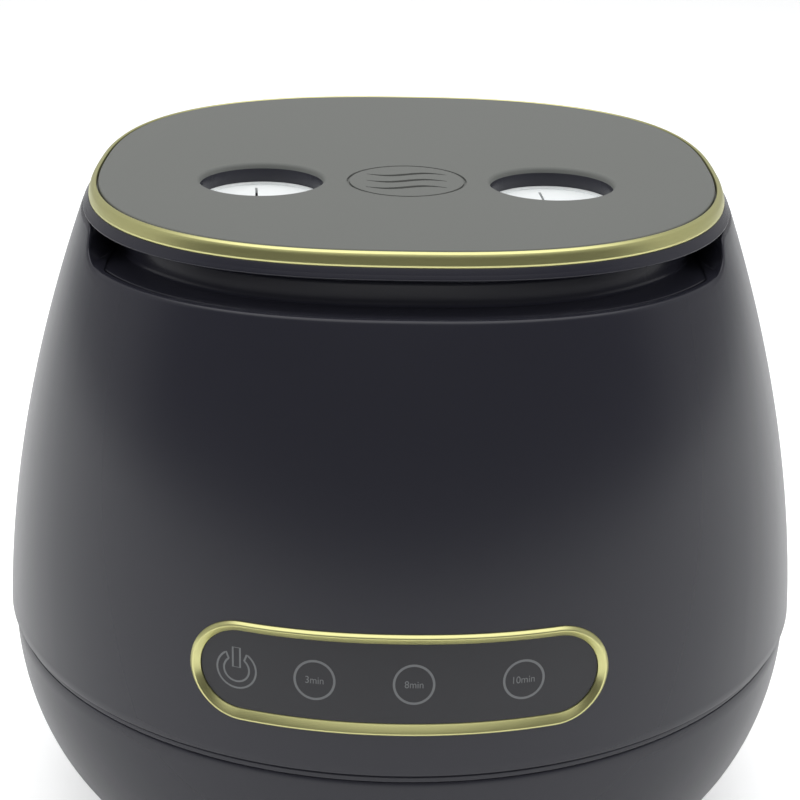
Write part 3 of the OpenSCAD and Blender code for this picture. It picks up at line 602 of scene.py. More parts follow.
def cut_window(bm, pot, control):
    """Opens the stadium hole behind the bezel, through both faces of the wall"""
    straight = control.bezel_half - control.bezel_high / 2
    radius = control.bezel_high / 2 - control.band * 0.5

    def from_stadium(x, z):
        core = Vector((max(-straight, min(straight, x)), control.centre_z))
        away = Vector((x, z)) - core
        return core, away

    bmesh.ops.remove_doubles(bm, verts=bm.verts, dist=MERGE)
    gone = []
    for face in bm.faces:
        middle = face.calc_center_median()
        if middle.y < 0 and from_stadium(middle.x, middle.z)[1].length < radius:
            gone.append(face)
    bmesh.ops.delete(bm, geom=gone, context="FACES")
    rim = [e for e in bm.edges if e.is_boundary]
    for vert in {v for e in rim for v in e.verts}:
        outside = on_front(pot, vert.co.x, vert.co.z).y
        inset = pot.wall if vert.co.y > outside + pot.wall / 2 else 0
        core, away = from_stadium(vert.co.x, vert.co.z)
        flat = core + away.normalized() * radius
        vert.co = on_front(pot, flat.x, flat.y, -inset)
    bmesh.ops.bridge_loops(bm, edges=rim)


class STEAMER_OT_housing(bpy.types.Operator):
    """Build the housing, with its finger recess and window hole"""

    bl_idname = "steamer.housing"
    bl_label = "Housing"

    def execute(self, context):
        build_housing(context)
        return {"FINISHED"}


# ---- Base ----

# Sizes of the base, in millimetres
BASE_FLAT = 74.8
BASE_DEEP = 63.2
RIM_INSET = 1.1
SEAM_GAP = 3
RIM_DROP = 2.7
TONGUE_INSET = 0.8
TONGUE_THICK = 2.5
TONGUE_RISE = 3.5
UNDERSIDE = 3
COVER_SEAT = 5.5
COVER_HALF = 69.6
LEDGE_HALF = 63
GLAND_FACE = 98


def bowl_outline(pot, inset, start, end, steps):
    """Quarter ellipse of the base's side, between two angles"""
    flat, rim = BASE_FLAT, pot.seam_half / MM - RIM_INSET
    top, deep = pot.seam_z / MM - SEAM_GAP, BASE_DEEP
    points = []
    for k in range(steps + 1):
        q = math.radians(blend(start, end, k / steps))
        points.append((flat + (rim - inset - flat) * math.cos(q), top + (deep - inset) * math.sin(q), 0))
    return points


def build_base(context):
    """Bowl with its tongue and its ledge for the cover, and the boss that holds the cord gland"""
    pot = context.scene.steamer_pot
    bm = new_sheet()
    seam, half, wall = pot.seam_z / MM, pot.seam_half / MM, pot.wall / MM
    out = half - wall - TONGUE_INSET
    inside = out - TONGUE_THICK
    outer = bowl_outline(pot, 0, -89.9, -1.0, 40)
    inner = bowl_outline(pot, wall, -12.5, -74, 20)
    corners = [(COVER_HALF, UNDERSIDE, 0.3)] + outer
    foot, tip = seam - RIM_DROP, seam + TONGUE_RISE
    corners += [(half - 1.5, foot, 0.25), (out, foot, 0.2), (out, tip, 0.4)]
    corners += [(inside, tip, 0.4), (inside, inner[0][1] + 3, 0)]
    corners += inner + [(LEDGE_HALF, 8, 0.3), (LEDGE_HALF, COVER_SEAT, 0.3), (COVER_HALF, COVER_SEAT, 0)]
    spun(bm, rounded(corners), pot.columns)
    pad_z = mid("cord_gland", 2) / MM
    hole, rim, deep = 7.15, 12, 17
    pad = rounded([(hole, 0, 0.3), (hole, deep, 0.3), (rim, deep, 0.8), (rim, 0, 0)], steps=5)
    boss = new_sheet()
    spun(boss, pad, 64)
    turned = Matrix.Translation((0, GLAND_FACE * MM, pad_z * MM)) @ Matrix.Rotation(-math.pi / 2, 4, "X")
    bmesh.ops.transform(boss, matrix=turned, verts=boss.verts)
    add_mesh_of(bm, boss)
    return finish_piece(bm, "base_bowl", "body", "gloss_black", ["base_housing"])


def build_seam_bead(context):
    """Bead that half fills the gap at the seam"""
    pot = context.scene.steamer_pot
    seam, half = pot.seam_z / MM, pot.seam_half / MM
    bm = new_sheet()
    inner, outer, foot, top = half - 3.2, half - 1.4, seam - RIM_DROP, seam - 0.7
    corners = [(inner, foot, 0.1), (outer, foot, 0.6), (outer, top, 0.6), (inner, top, 0.1)]
    spun(bm, rounded(corners), pot.columns)
    return finish_piece(bm, "seam_bead", "body", "gloss_black", ["seam_band"])


def build_feet(context):
    """Feet with a groove underneath and a stem through the cover"""
    bm = new_sheet()
    foot, stem, top = 8, 2.5, 5.8
    spot = low("rubber_feet", 0) / MM + foot
    corners = [(0, 0, 0), (5.2, 0, 0.3), (5.4, 0.5, 0.2), (6.2, 0.5, 0.2), (6.4, 0, 0.3), (foot, 0, 0.8)]
    corners += [(foot, UNDERSIDE, 0.5), (stem, UNDERSIDE, 0.2), (stem, top, 0.2), (0, top, 0)]
    for x in (-1, 1):
        for y in (-1, 1):
            spun(bm, rounded(corners, closed=False), 48, (spot * MM * x, spot * MM * y), closed=False)
    return finish_piece(bm, "rubber_foot_pads", "body", "black_rubber", ["rubber_feet"])


class STEAMER_OT_base(bpy.types.Operator):
    """Build the base bowl, the seam bead and the feet"""

    bl_idname = "steamer.base"
    bl_label = "Base"

    def execute(self, context):
        build_base(context)
        build_seam_bead(context)
        build_feet(context)
        return {"FINISHED"}


# ---- Deck ----

# Sizes of the deck, in millimetres
DECK_GAP = 0.3
DECK_THICK = 3
MOUTH_HALF = 79.5


def build_deck(context):
    """Deck plate with its collar, square outside and round at the chamber's mouth"""
    pot = context.scene.steamer_pot
    bm = new_sheet()
    square = body_square(pot, high("top_deck", 2))
    plate_half, plate_square = high("top_deck", 0) / MM, body_square(pot, low("top_deck", 2))
    top, deck = high("top_deck", 2) / MM, (pot.shoulder_z - pot.recess_drop) / MM - DECK_GAP
    under = deck - DECK_THICK
    collar, mouth = pot.collar_half / MM, MOUTH_HALF
    rows = rounded([
        (mouth, under, 0.3), (plate_half, under, 0.3), (plate_half, deck, 0.3), (collar, deck, 1.2),
        (collar, top, 1), (mouth, top, 1),
    ])
    places = []
    for point in rows:
        across = point.x / MM
        share = min(1, max(0, (across - mouth) / (collar - mouth)))
        power = blend(2, square, share) if across <= collar else blend(
            square, plate_square, (across - collar) / (plate_half - collar)
        )
        places.append(squared_ring(point.x, power, point.y, pot.columns))
    ring_stack(bm, pot.columns, places)
    return finish_piece(bm, "deck_collar", "body", "gloss_black", ["top_deck"])


class STEAMER_OT_deck(bpy.types.Operator):
    """Build the deck and its collar, which show in the finger recess"""

    bl_idname = "steamer.deck"
    bl_label = "Deck"

    def execute(self, context):
        build_deck(context)
        return {"FINISHED"}


# ---- Lid ----


def flat_loop(bm, points):
    """Closed loop of edges through a list of points"""
    verts = [bm.verts.new(p) for p in points]
    return [bm.edges.new(pair) for pair in zip(verts, verts[1:] + verts[:1])]


def wave_points(lid, row, z):
    """Outline of an engraved wave: a dip on the left, a rise on the right, pointed at its ends"""
    steps = 26
    top, bottom = [], []
    for k in range(steps + 1):
        share = k / steps
        x = lid.wave_length * (share - 0.5)
        middle = lid.vent_y + row * lid.wave_pitch - lid.wave_swing * math.sin(math.tau * share)
        half = lid.wave_stroke / 2 * (0.16 + 0.84 * math.sin(math.pi * share))
        top.append(Vector((x, middle + half, z)))
        bottom.append(Vector((x, middle - half, z)))
    return top + bottom[::-1]


def circle_points(centre, radius, z, steps=96):
    """Points round a level circle"""
    return [
        Vector((
            centre[0] + radius * math.cos(math.tau * k / steps),
            centre[1] + radius * math.sin(math.tau * k / steps),
            z,
        ))
        for k in range(steps)
    ]


def fill(bm, *loops):
    """Flat face between loops"""
    bmesh.ops.triangle_fill(bm, use_beauty=True, edges=[e for loop in loops for e in loop], normal=(0, 0, 1))


def dropped(bm, edges, depth):
    """Wall extruded down from a loop; gives its lower loop"""
    grown = bmesh.ops.extrude_edge_only(bm, edges=edges)["geom"]
    verts = [g for g in grown if isinstance(g, bmesh.types.BMVert)]
    bmesh.ops.translate(bm, vec=(0, 0, -depth), verts=verts)
    chosen = set(verts)
    return [g for g in grown if isinstance(g, bmesh.types.BMEdge) and set(g.verts) <= chosen]


def soft_wall(bm, edges, centre, steps):
    """Wall stepped down and scaled about a centre; each step is (scale, drop)"""
    for scale, drop in steps:
        grown = bmesh.ops.extrude_edge_only(bm, edges=edges)["geom"]
        verts = [g for g in grown if isinstance(g, bmesh.types.BMVert)]
        chosen = set(verts)
        for vert in verts:
            vert.co.x = centre[0] + (vert.co.x - centre[0]) * scale
            vert.co.y = centre[1] + (vert.co.y - centre[1]) * scale
            vert.co.z -= drop
        edges = [g for g in grown if isinstance(g, bmesh.types.BMEdge) and set(g.verts) <= chosen]
    return edges


def quarter_steps(radius, inner, steps=5, closing=True):
    """Scale and drop of each step of a quarter round, from a loop at the flat's edge"""
    points = []
    for k in range(steps + 1):
        q = math.pi / 2 * k / steps
        away = radius * math.sin(q)
        points.append((inner - away if closing else inner + away, radius * (1 - math.cos(q))))
    return [(b[0] / a[0], b[1] - a[1]) for a, b in zip(points, points[1:])]


def build_lid_panel(context):
    """Panel with two soft-edged steam holes and an engraved mark"""
    pot, lid = context.scene.steamer_pot, context.scene.steamer_lid
    top, bottom = pot.lid_z, low("lid_panel", 2)
    bm = new_sheet()
    edge = 0.5 * MM
    columns = pot.columns
    outline = first_ring(bm, columns, squared_ring(lid.panel_half - edge, pot.lid_square, top, columns))
    vents = []
    for side in (-1, 1):
        centre = (side * lid.vent_x, lid.vent_y)
        vents.append((centre, flat_loop(bm, circle_points(centre, lid.vent_radius + lid.vent_soft, top))))
    mark = (0, lid.vent_y)
    mark_out = flat_loop(bm, circle_points(mark, lid.mark_radius, top, 128))
    mark_in = flat_loop(bm, circle_points(mark, lid.mark_radius - lid.mark_stroke, top, 128))
    waves = [flat_loop(bm, wave_points(lid, row, top)) for row in (-1, 0, 1)]
    fill(bm, outline, *[loop for _, loop in vents], mark_out)
    fill(bm, mark_in, *waves)
    groove = dropped(bm, mark_out, lid.mark_depth) + dropped(bm, mark_in, lid.mark_depth)
    fill(bm, groove)
    for wave in waves:
        fill(bm, dropped(bm, wave, lid.mark_depth))
    feet = []
    for centre, loop in vents:
        soft = lid.vent_soft
        steps = quarter_steps(soft, lid.vent_radius + soft)
        rim = soft_wall(bm, loop, centre, steps + [(1, top - bottom - soft)])
        feet.append(rim)
    sides = quarter_steps(edge, lid.panel_half - edge, 4, closing=False)
    skirt = soft_wall(bm, outline, (0, 0), sides + [(1, top - bottom - edge)])
    fill(bm, skirt, *feet)
    return finish_piece(bm, "lid_top_panel", "lid", "lid_grey", ["lid_panel"])


def build_lid_ring(context):
    """Gold ring that slopes out from the panel to the skirt"""
    pot, lid = context.scene.steamer_pot, context.scene.steamer_lid
    foot, half, top = lid.ring_z / MM, lid.ring_half / MM - 0.1, pot.lid_z / MM
    inner = half - 2.2
    corners = [
        (inner, foot, 0), (half, foot, 0.15), (half + 0.1, foot + 0.6, 0.5), (half - 0.5, foot + 2.6, 3),
        (half - 1.0, top - 0.5, 0.25), (half - 1.6, top - 0.05, 0.2), (inner + 0.25, top - 0.05, 0.1),
        (inner, top - 0.3, 0.1),
    ]
    columns = pot.columns
    places = [squared_ring(p.x, pot.lid_square, p.y, columns) for p in rounded(corners, steps=3)]
    bm = new_sheet()
    ring_stack(bm, columns, places)
    return finish_piece(bm, "gold_lid_ring", "lid", "gold_trim", ["lid_trim_ring"], sharp=50)


# Sizes of the lid's skirt and knuckles, in millimetres
SKIRT_HIGH = 2.9
SKIRT_PLATE = 2.5
POCKET_HALF = 84.5
POCKET_SQUARE = 2.3
VENT_HOLE = 1.9
KNUCKLE_START = 12.5
KNUCKLE_LONG = 16
KNUCKLE_HALF = 4.5
PIN_HOLE = 2.05
ARM_ROOT = 85


def build_lid_skirt(context):
    """Skirt under the ring, its plate with the vent holes, and the hinge knuckles"""
    pot, lid = context.scene.steamer_pot, context.scene.steamer_lid
    foot, half = low("lid_trim_ring", 2) / MM - SKIRT_HIGH, lid.skirt_half / MM
    ring, top = lid.ring_z / MM, low("lid_panel", 2) / MM
    columns = pot.columns
    pocket, ceiling = POCKET_HALF, top - SKIRT_PLATE
    corners = [
        (pocket, ceiling, 0), (pocket, foot, 0.3), (half - 1.5, foot, 0.25),
        (half - 1.2, foot + 0.4, 0.3), (half - 1.9, foot + 1.4, 1.5),
        (half - 2.8, ring, 0.2), (half - 5.2, ring, 0.1), (half - 5.3, top, 0),
    ]
    rows = rounded(corners, closed=False)
    squares = [
        POCKET_SQUARE if p.x / MM <= pocket and p.y / MM < ceiling + 0.1 else pot.lid_square for p in rows
    ]
    bm = new_sheet()
    places = [squared_ring(p.x, power, p.y, columns) for p, power in zip(rows, squares)]
    first, last = ring_stack(bm, columns, places, closed=False)
    wide = lid.vent_radius + VENT_HOLE * MM
    centres = [(side * lid.vent_x, lid.vent_y) for side in (-1, 1)]
    holes = [flat_loop(bm, circle_points(centre, wide, top * MM)) for centre in centres]
    lower = [dropped(bm, hole, (top - ceiling) * MM) for hole in holes]
    fill(bm, last, *holes)
    fill(bm, first, *lower)
    hinge_y, hinge_z = mid("hinge_pin", 1), mid("hinge_pin", 2)
    for side in (-1, 1):
        add_knuckle(bm, side, hinge_y, hinge_z, foot)
    return finish_piece(bm, "lid_skirt", "lid", "gloss_black", ["lid_frame"])


def add_knuckle(bm, side, hinge_y, hinge_z, foot):
    """Lid knuckle: a rounded barrel on an arm under the skirt"""
    arm = new_sheet()
    start, end = KNUCKLE_START * MM, (KNUCKLE_START + KNUCKLE_LONG) * MM
    hole, out, long = PIN_HOLE, KNUCKLE_HALF, KNUCKLE_LONG
    barrel = rounded([(hole, 0, 0.2), (out, 0, 0.5), (out, long, 0.5), (hole, long, 0.2)])
    spun(arm, barrel, 48)
    turned = Matrix.Translation((start, hinge_y, hinge_z)) @ Matrix.Rotation(math.pi / 2, 4, "Y")
    bmesh.ops.transform(arm, matrix=turned, verts=arm.verts)
    block = bmesh.ops.create_cube(arm, size=1)["verts"]
    low_y, high_y, low_z, high_z = ARM_ROOT * MM, hinge_y - 2.6 * MM, hinge_z - MM, (foot + 0.8) * MM
    size = Vector((end - start, high_y - low_y, high_z - low_z))
    bmesh.ops.scale(arm, vec=size, verts=block)
    bmesh.ops.translate(
        arm, vec=((start + end) / 2, (low_y + high_y) / 2, (low_z + high_z) / 2), verts=block
    )
    edges = list({e for v in block for e in v.link_edges})
    bmesh.ops.bevel(
        arm, geom=edges, offset=0.5 * MM, segments=3, affect="EDGES", profile=0.5, material=-1
    )
    if side < 0:
        bmesh.ops.scale(arm, vec=(-1, 1, 1), verts=arm.verts)
    add_mesh_of(bm, arm)


def build_vents(context):
    """Dark well under each steam hole, with its white valve"""
    lid = context.scene.steamer_lid
    under = low("vent_disc_right", 2) / MM
    top, disc = low("lid_panel", 2) / MM, high("vent_disc_right", 2) / MM
    radius = lid.vent_radius / MM
    for side, word in ((-1, "left"), (1, "right")):
        centre = Vector((side * lid.vent_x, lid.vent_y))
        well = new_sheet()
        foot, flange, outer = under - 1.2, radius + 3.4, radius + 1.8
        corners = [
            (radius, top, 0.1), (radius, under, 0.1), (radius - 2, under, 0.3), (radius - 2, foot, 0.3),
            (flange, foot, 0.4), (flange, under, 0.4), (outer, under, 0.2), (outer, top, 0.1),
        ]
        spun(well, rounded(corners), 96, centre)
        finish_piece(well, f"vent_well_{word}", "lid", "gloss_black", [f"vent_collar_{word}"])
        build_valve(lid, word, centre, under, disc)


def build_valve(lid, word, centre, under, disc):
    """White valve disc with a raised rim and a bowed slit"""
    bm = new_sheet()
    radius, lip, dish = lid.vent_radius - 0.1 * MM, 1.6 * MM, 0.5 * MM
    top = disc * MM
    rim = flat_loop(bm, circle_points(centre, radius, top))
    inner = flat_loop(bm, circle_points(centre, radius - lip, top))
    slit_x = centre.x - 2.5 * MM
    half, long, bowed, steps = 0.35 * MM, 12.1 * MM, 0.8 * MM, 20

    def slit_points(z):
        right, left = [], []
        for k in range(steps + 1):
            y = blend(-long, long, k / steps)
            bow = bowed * math.sin(math.pi * k / steps)
            right.append(Vector((slit_x + bow + half, centre.y + y, z)))
            left.append(Vector((slit_x + bow - half, centre.y + y, z)))
        return right + left[::-1]

    slit = flat_loop(bm, slit_points(top - dish))
    low_inner = dropped(bm, inner, dish)
    fill(bm, rim, inner)
    fill(bm, low_inner, slit)
    depth = (disc - under) * MM
    fill(bm, dropped(bm, rim, depth), dropped(bm, slit, depth - dish))
    return finish_piece(bm, f"vent_valve_{word}", "lid", "white_silicone", [f"vent_disc_{word}"])


class STEAMER_OT_lid(bpy.types.Operator):
    """Build the lid's panel, gold ring, skirt and steam vents"""

    bl_idname = "steamer.lid"
    bl_label = "Lid"

    def execute(self, context):
        build_lid_panel(context)
        build_lid_ring(context)
        build_lid_skirt(context)
        build_vents(context)
        return {"FINISHED"}


# ---- Controls ----

STRAIGHT_STEPS = 44
BEND_STEPS = 30
PRINT_LIFT = 0.05 * MM
WORD_HIGH = 1.9 * MM
WORD_NARROW = 0.92
KEY_PLACES = [x * MM for x in (-41.7, -21.5, 3.8, 31.8)]
KEY_WORDS = ("3min", "8min", "10min")


def stadium_point(straight, radius, column):
    """Point of a stadium with round ends: half its straight length, its end radius"""
    part, step = divmod(column, STRAIGHT_STEPS + BEND_STEPS)
    sign = -1 if part else 1
    if step < STRAIGHT_STEPS:
        x = blend(straight, -straight, step / STRAIGHT_STEPS)
        return sign * x, sign * radius
    q = math.pi / 2 + math.pi * (step - STRAIGHT_STEPS) / BEND_STEPS
    return sign * (-straight + radius * math.cos(q)), sign * radius * math.sin(q)


def build_bezel(context):
    """Gold band round the window, on the curve of the housing"""
    pot, control = context.scene.steamer_pot, context.scene.steamer_controls
    out, band = control.stand_out / MM, control.band / MM
    straight = control.bezel_half - control.bezel_high / 2
    root = -2.2
    corners = [
        (0.05, root, 0), (0.0, 0.35, 0.3), (0.55, out - 0.05, 0.3), (0.95, out, 0.3),
        (band - 0.1, -0.25, 0.15), (band, -0.6, 0.1), (band, root, 0),
    ]
    columns = 2 * (STRAIGHT_STEPS + BEND_STEPS)

    def place_of(row):
        def place(column):
            x, z = stadium_point(straight, control.bezel_high / 2 - row.x, column)
            return on_front(pot, x, control.centre_z + z, row.y)

        return place

    bm = new_sheet()
    ring_stack(bm, columns, [place_of(row) for row in rounded(corners, steps=4)])
    return finish_piece(bm, "gold_bezel", "body", "gold_trim", ["control_bezel"], sharp=50)


def window_face(context, x, z, lift=0.0):
    """Point of the touch window's face; x and z are from the window's centre"""
    pot, control = context.scene.steamer_pot, context.scene.steamer_controls
    return on_front(pot, x, control.centre_z + z, lift - control.set_back)


def build_window(context):
    """Curved window, thickened towards the inside"""
    control = context.scene.steamer_controls
    radius = control.bezel_high / 2 - control.band - 0.1 * MM
    straight = control.bezel_half - control.bezel_high / 2
    bm = new_sheet()
    across, up = 80, 20
    grid = bmesh.ops.create_grid(bm, x_segments=across, y_segments=up, size=1)["verts"]
    for vert in grid:
        z = radius * math.sin(math.pi / 2 * vert.co.y)
        edge = straight + math.sqrt(max(0, radius**2 - z**2))
        vert.co = window_face(context, vert.co.x * edge, z)
    back = bmesh.ops.extrude_face_region(bm, geom=bm.faces)["geom"]
    thick = 2.2 * MM
    for item in back:
        if isinstance(item, bmesh.types.BMVert):
            item.co.y += thick
    return finish_piece(bm, "touch_window", "body", "window_black", ["control_window"])


def add_stroke(bm, context, line, stroke, closed=False):
    """Printed stroke along a line on the window"""
    total = len(line)
    sides = []
    for k, point in enumerate(line):
        ahead = line[(k + 1) % total] if closed or k < total - 1 else point
        behind = line[k - 1] if closed or k > 0 else point
        along = (Vector(ahead) - Vector(behind)).normalized()
        across = Vector((-along.y, along.x)) * stroke / 2
        sides.append((Vector(point) + across, Vector(point) - across))
    pairs = [
        tuple(bm.verts.new(window_face(context, p.x, p.y, PRINT_LIFT)) for p in side) for side in sides
    ]
    ends = pairs[1:] + pairs[:1] if closed else pairs[1:]
    for (a, b), (c, d) in zip(pairs, ends):
        bm.faces.new((a, b, d, c))


def add_word(bm, context, word, x):
    """Printed word, centred on a key"""
    curve = bpy.data.curves.new("word", "FONT")
    curve.body = word
    curve.align_x = "CENTER"
    curve.align_y = "CENTER"
    text = bpy.data.objects.new("word", curve)
    bpy.context.scene.collection.objects.link(text)
    bpy.context.view_layer.update()
    flat = bpy.data.meshes.new_from_object(text.evaluated_get(bpy.context.evaluated_depsgraph_get()))
    bpy.data.objects.remove(text)
    bpy.data.curves.remove(curve)
    letters = bmesh.new()
    letters.from_mesh(flat)
    bpy.data.meshes.remove(flat)
    xs = [v.co.x for v in letters.verts]
    ys = [v.co.y for v in letters.verts]
    scale = WORD_HIGH / (max(ys) - min(ys))
    centre = Vector(((max(xs) + min(xs)) / 2, (max(ys) + min(ys)) / 2))
    for vert in letters.verts:
        across = x + (vert.co.x - centre.x) * scale * WORD_NARROW
        vert.co = window_face(context, across, (vert.co.y - centre.y) * scale, PRINT_LIFT)
    add_mesh_of(bm, letters)


def build_prints(context):
    """Power mark, and rings with a time in each"""
    control = context.scene.steamer_controls
    bm = bmesh.new()
    stroke = control.key_stroke
    power = KEY_PLACES[0]
    wide, narrow = control.key_radius - stroke / 2, control.key_radius - 2.1 * MM
    gap = 32
    outline = arc_between((power, 0), wide, 90 + gap, 450 - gap, 60)
    outline += arc_between((power, 0), narrow, 450 - gap - 6, 90 + gap + 6, 50)
    add_stroke(bm, context, outline, stroke * 0.8, closed=True)
    bar_half, bar_low, bar_high = 0.95 * MM, 0.6 * MM, control.key_radius + 0.5 * MM
    bar = [
        (power - bar_half, bar_low), (power + bar_half, bar_low),
        (power + bar_half, bar_high), (power - bar_half, bar_high),
    ]
    add_stroke(bm, context, bar, stroke * 0.8, closed=True)
    for place, word in zip(KEY_PLACES[1:], KEY_WORDS):
        add_stroke(bm, context, arc_between((place, 0), wide, 0, 354, 60), stroke, closed=True)
        add_word(bm, context, word, place)
    # Open prints have no inside, so their faces are turned to look out at the front
    bmesh.ops.recalc_face_normals(bm, faces=bm.faces)
    if sum(f.normal.y for f in bm.faces) > 0:
        bmesh.ops.reverse_faces(bm, faces=bm.faces)
    return hang_piece(bm, "key_prints", "body", "print_grey")


class STEAMER_OT_controls(bpy.types.Operator):
    """Build the gold bezel, the touch window and its printed keys"""

    bl_idname = "steamer.controls"
    bl_label = "Controls"

    def execute(self, context):
        build_bezel(context)
        build_window(context)
        build_prints(context)
        return {"FINISHED"}


# ---- Finishes of the kept nodes ----


class STEAMER_OT_finishes(bpy.types.Operator):
    """Give every kept node the finish of its slot"""

    bl_idname = "steamer.finishes"
    bl_label = "Finishes"

    def execute(self, context):
        for subpart in frame["record"]["subparts"]:
            node = frame["nodes"][subpart["node"]]
            node.data.materials.clear()
            node.data.materials.append(finish_of(subpart["material_slot"]))
        return {"FINISHED"}


# ---- Stage ----


def seen_or_mirrored(tree):
    """Share that is 1 for rays from the camera, a mirror or glass"""
    path = add_node(tree, "ShaderNodeLightPath")
    camera, glossy, glass = [path.outputs[f"Is {kind} Ray"] for kind in ("Camera", "Glossy", "Transmission")]
    first = add_node(tree, "ShaderNodeMath", {0: camera, 1: glossy}, operation="MAXIMUM")
    return add_node(tree, "ShaderNodeMath", {0: first.outputs[0], 1: glass}, operation="MAXIMUM").outputs[0]


def eased(tree, value, start, end):
    """Value moved smoothly from one range to another"""
    return add_node(tree, "ShaderNodeMapRange", {
        "Value": value, "From Min": start[0], "From Max": start[1], "To Min": end[0], "To Max": end[1],
    }, interpolation_type="SMOOTHSTEP").outputs["Result"]


def build_world(context):
    """Room that is white to the camera, and in mirrors dark in front and bright above"""
    world = bpy.data.worlds.new("studio")
    context.scene.world = world
    world.use_nodes = True
    tree = world.node_tree
    tree.nodes.clear()
    toward = add_node(tree, "ShaderNodeTexCoord").outputs["Generated"]
    split = add_node(tree, "ShaderNodeSeparateXYZ", {"Vector": toward})
    behind = eased(tree, split.outputs["Y"], (-0.5, 0.0), (0.06, 0.4))
    above = eased(tree, split.outputs["Z"], (0.7, 0.95), (0.0, 1.2))
    mirrored = add_node(tree, "ShaderNodeMath", {0: behind, 1: above}, operation="ADD")
    camera = add_node(tree, "ShaderNodeLightPath").outputs["Is Camera Ray"]
    strength = add_node(tree, "ShaderNodeMath", {0: camera, 1: mirrored.outputs[0]}, operation="MAXIMUM")
    lit = add_node(tree, "ShaderNodeBackground", {"Color": (1, 1, 1, 1), "Strength": strength.outputs[0]})
    room = add_node(tree, "ShaderNodeBackground", {"Color": (0.97, 0.99, 1.0, 1), "Strength": 0.45})
    mix = add_node(
        tree, "ShaderNodeMixShader", {0: seen_or_mirrored(tree), 1: room.outputs[0], 2: lit.outputs[0]}
    )
    add_node(tree, "ShaderNodeOutputWorld", {"Surface": mix.outputs[0]})


def build_floor(context):
    """Pale floor that keeps the shadow, and glows to the camera alone"""
    bm = bmesh.new()
    bmesh.ops.create_grid(bm, x_segments=2, y_segments=2, size=3.0)
    mesh = bpy.data.meshes.new("floor")
    bm.to_mesh(mesh)
    bm.free()
    floor = bpy.data.objects.new("floor", mesh)
    context.scene.collection.objects.link(floor)
    material = bpy.data.materials.new("pale_floor")
    material.use_nodes = True
    tree = material.node_tree
    shader = tree.nodes["Principled BSDF"]
    pale = (*context.scene.steamer_colours.floor, 1)
    feed(tree, shader, {"Base Color": pale, "Roughness": 0.9, "Specular IOR Level": 0.1})
    glow = add_node(tree, "ShaderNodeEmission", {"Color": (1, 1, 1, 1), "Strength": 0.42})
    dark = add_node(tree, "ShaderNodeEmission", {"Strength": 0.0})
    camera = add_node(tree, "ShaderNodeLightPath").outputs["Is Camera Ray"]
    chosen = add_node(tree, "ShaderNodeMixShader", {0: camera, 1: dark.outputs[0], 2: glow.outputs[0]})
    total = add_node(tree, "ShaderNodeAddShader", {0: shader.outputs[0], 1: chosen.outputs[0]})
    feed(tree, tree.nodes["Material Output"], {"Surface": total.outputs[0]})
    mesh.materials.append(material)


# Name, place, target, size and power
LAMPS = (
    ("overhead", (0.0, 0.25, 1.3), (0.0, 0.0, 0.15), 1.3, 11.0),
    ("left_side", (-1.25, -0.1, 0.7), (0.0, 0.0, 0.12), 0.9, 6.0),
    ("right_side", (1.25, -0.1, 0.7), (0.0, 0.0, 0.12), 0.9, 6.0),
    ("front_fill", (0.0, -1.4, 1.1), (0.0, 0.0, 0.12), 0.9, 4.0),
)


def aimed(place, target, roll=0.0):
    """Placing of a lamp or a camera that looks from a place at a target"""
    turn = (Vector(target) - Vector(place)).to_track_quat("-Z", "Y")
    return Matrix.Translation(place) @ turn.to_matrix().to_4x4() @ Matrix.Rotation(roll, 4, "Z")


def build_lamps(context):
    """Soft lamps that light the object and don't show in its gloss"""
    for name, place, target, size, power in LAMPS:
        lamp = bpy.data.lights.new(name, "AREA")
        lamp.shape = "DISK"
        lamp.size = size
        lamp.energy = power
        holder = bpy.data.objects.new(name, lamp)
        holder.matrix_world = aimed(place, target)
        holder.visible_glossy = False
        context.scene.collection.objects.link(holder)


CAMERA_PLACE = (-0.0009, -0.535, 0.3366)
CAMERA_TARGET = (-0.0009, 0, 0.1259)
CAMERA_ROLL = 0.9


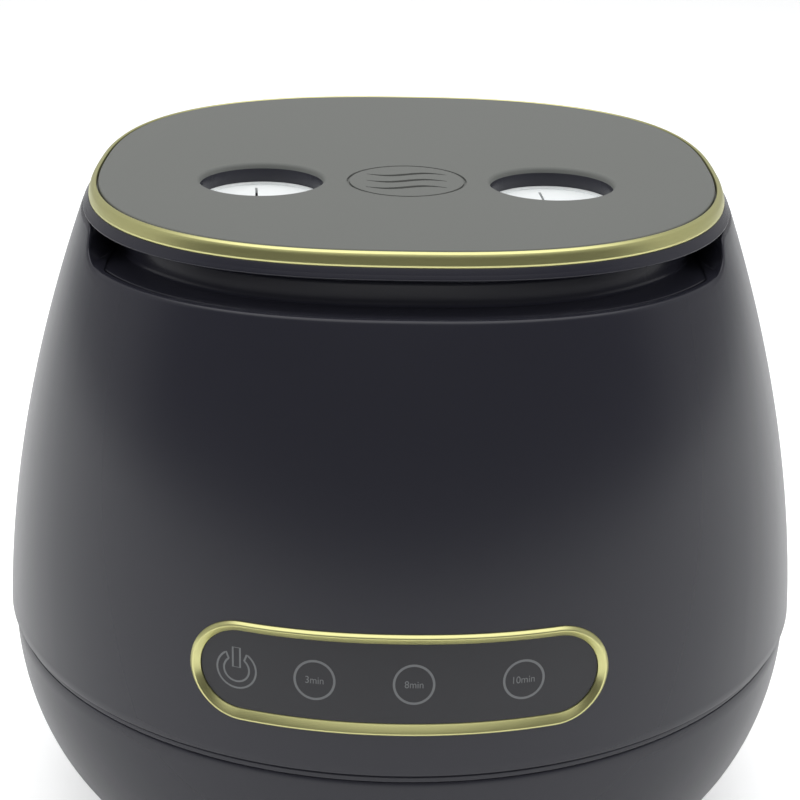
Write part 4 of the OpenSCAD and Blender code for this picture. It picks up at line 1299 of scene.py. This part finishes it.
def build_camera(context):
    """Camera above the front edge, looking down on the lid"""
    camera = bpy.data.cameras.new("camera")
    camera.lens = 85
    camera.sensor_width = 36
    camera.clip_start = 0.05
    holder = bpy.data.objects.new("camera", camera)
    holder.matrix_world = aimed(CAMERA_PLACE, CAMERA_TARGET, math.radians(CAMERA_ROLL))
    context.scene.collection.objects.link(holder)
    context.scene.camera = holder


class STEAMER_OT_stage(bpy.types.Operator):
    """Set the floor, the room, the lamps and the camera"""

    bl_idname = "steamer.stage"
    bl_label = "Stage"

    def execute(self, context):
        context.scene.view_settings.view_transform = "Standard"
        build_world(context)
        build_floor(context)
        build_lamps(context)
        build_camera(context)
        return {"FINISHED"}


# ---- Panel and registration ----

OPERATORS = (
    STEAMER_OT_housing,
    STEAMER_OT_base,
    STEAMER_OT_deck,
    STEAMER_OT_lid,
    STEAMER_OT_controls,
    STEAMER_OT_finishes,
    STEAMER_OT_stage,
)
GROUPS = {
    "steamer_pot": PotSizes,
    "steamer_lid": LidSizes,
    "steamer_controls": ControlSizes,
    "steamer_colours": Colours,
}


class STEAMER_PT_panel(bpy.types.Panel):
    """Sizes, colours and build steps of the steamer"""

    bl_idname = "STEAMER_PT_panel"
    bl_label = "Facial Steamer"
    bl_space_type = "VIEW_3D"
    bl_region_type = "UI"
    bl_category = "Steamer"

    def draw(self, context):
        for operator in OPERATORS:
            self.layout.operator(operator.bl_idname)
        for name in GROUPS:
            box = self.layout.box()
            group = getattr(context.scene, name)
            for field in group.bl_rna.properties:
                if not field.is_readonly and field.identifier != "name":
                    box.prop(group, field.identifier)


def register():
    for name, group in GROUPS.items():
        bpy.utils.register_class(group)
        setattr(bpy.types.Scene, name, PointerProperty(type=group))
    for item in (*OPERATORS, STEAMER_PT_panel):
        bpy.utils.register_class(item)


def unregister():
    for item in (STEAMER_PT_panel, *reversed(OPERATORS)):
        bpy.utils.unregister_class(item)
    for name, group in GROUPS.items():
        delattr(bpy.types.Scene, name)
        bpy.utils.unregister_class(group)


def main():
    register()
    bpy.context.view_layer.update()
    bpy.ops.steamer.housing()
    bpy.ops.steamer.base()
    bpy.ops.steamer.deck()
    bpy.ops.steamer.lid()
    bpy.ops.steamer.controls()
    bpy.ops.steamer.finishes()
    bpy.ops.steamer.stage()


if __name__ == "__main__":
    main()
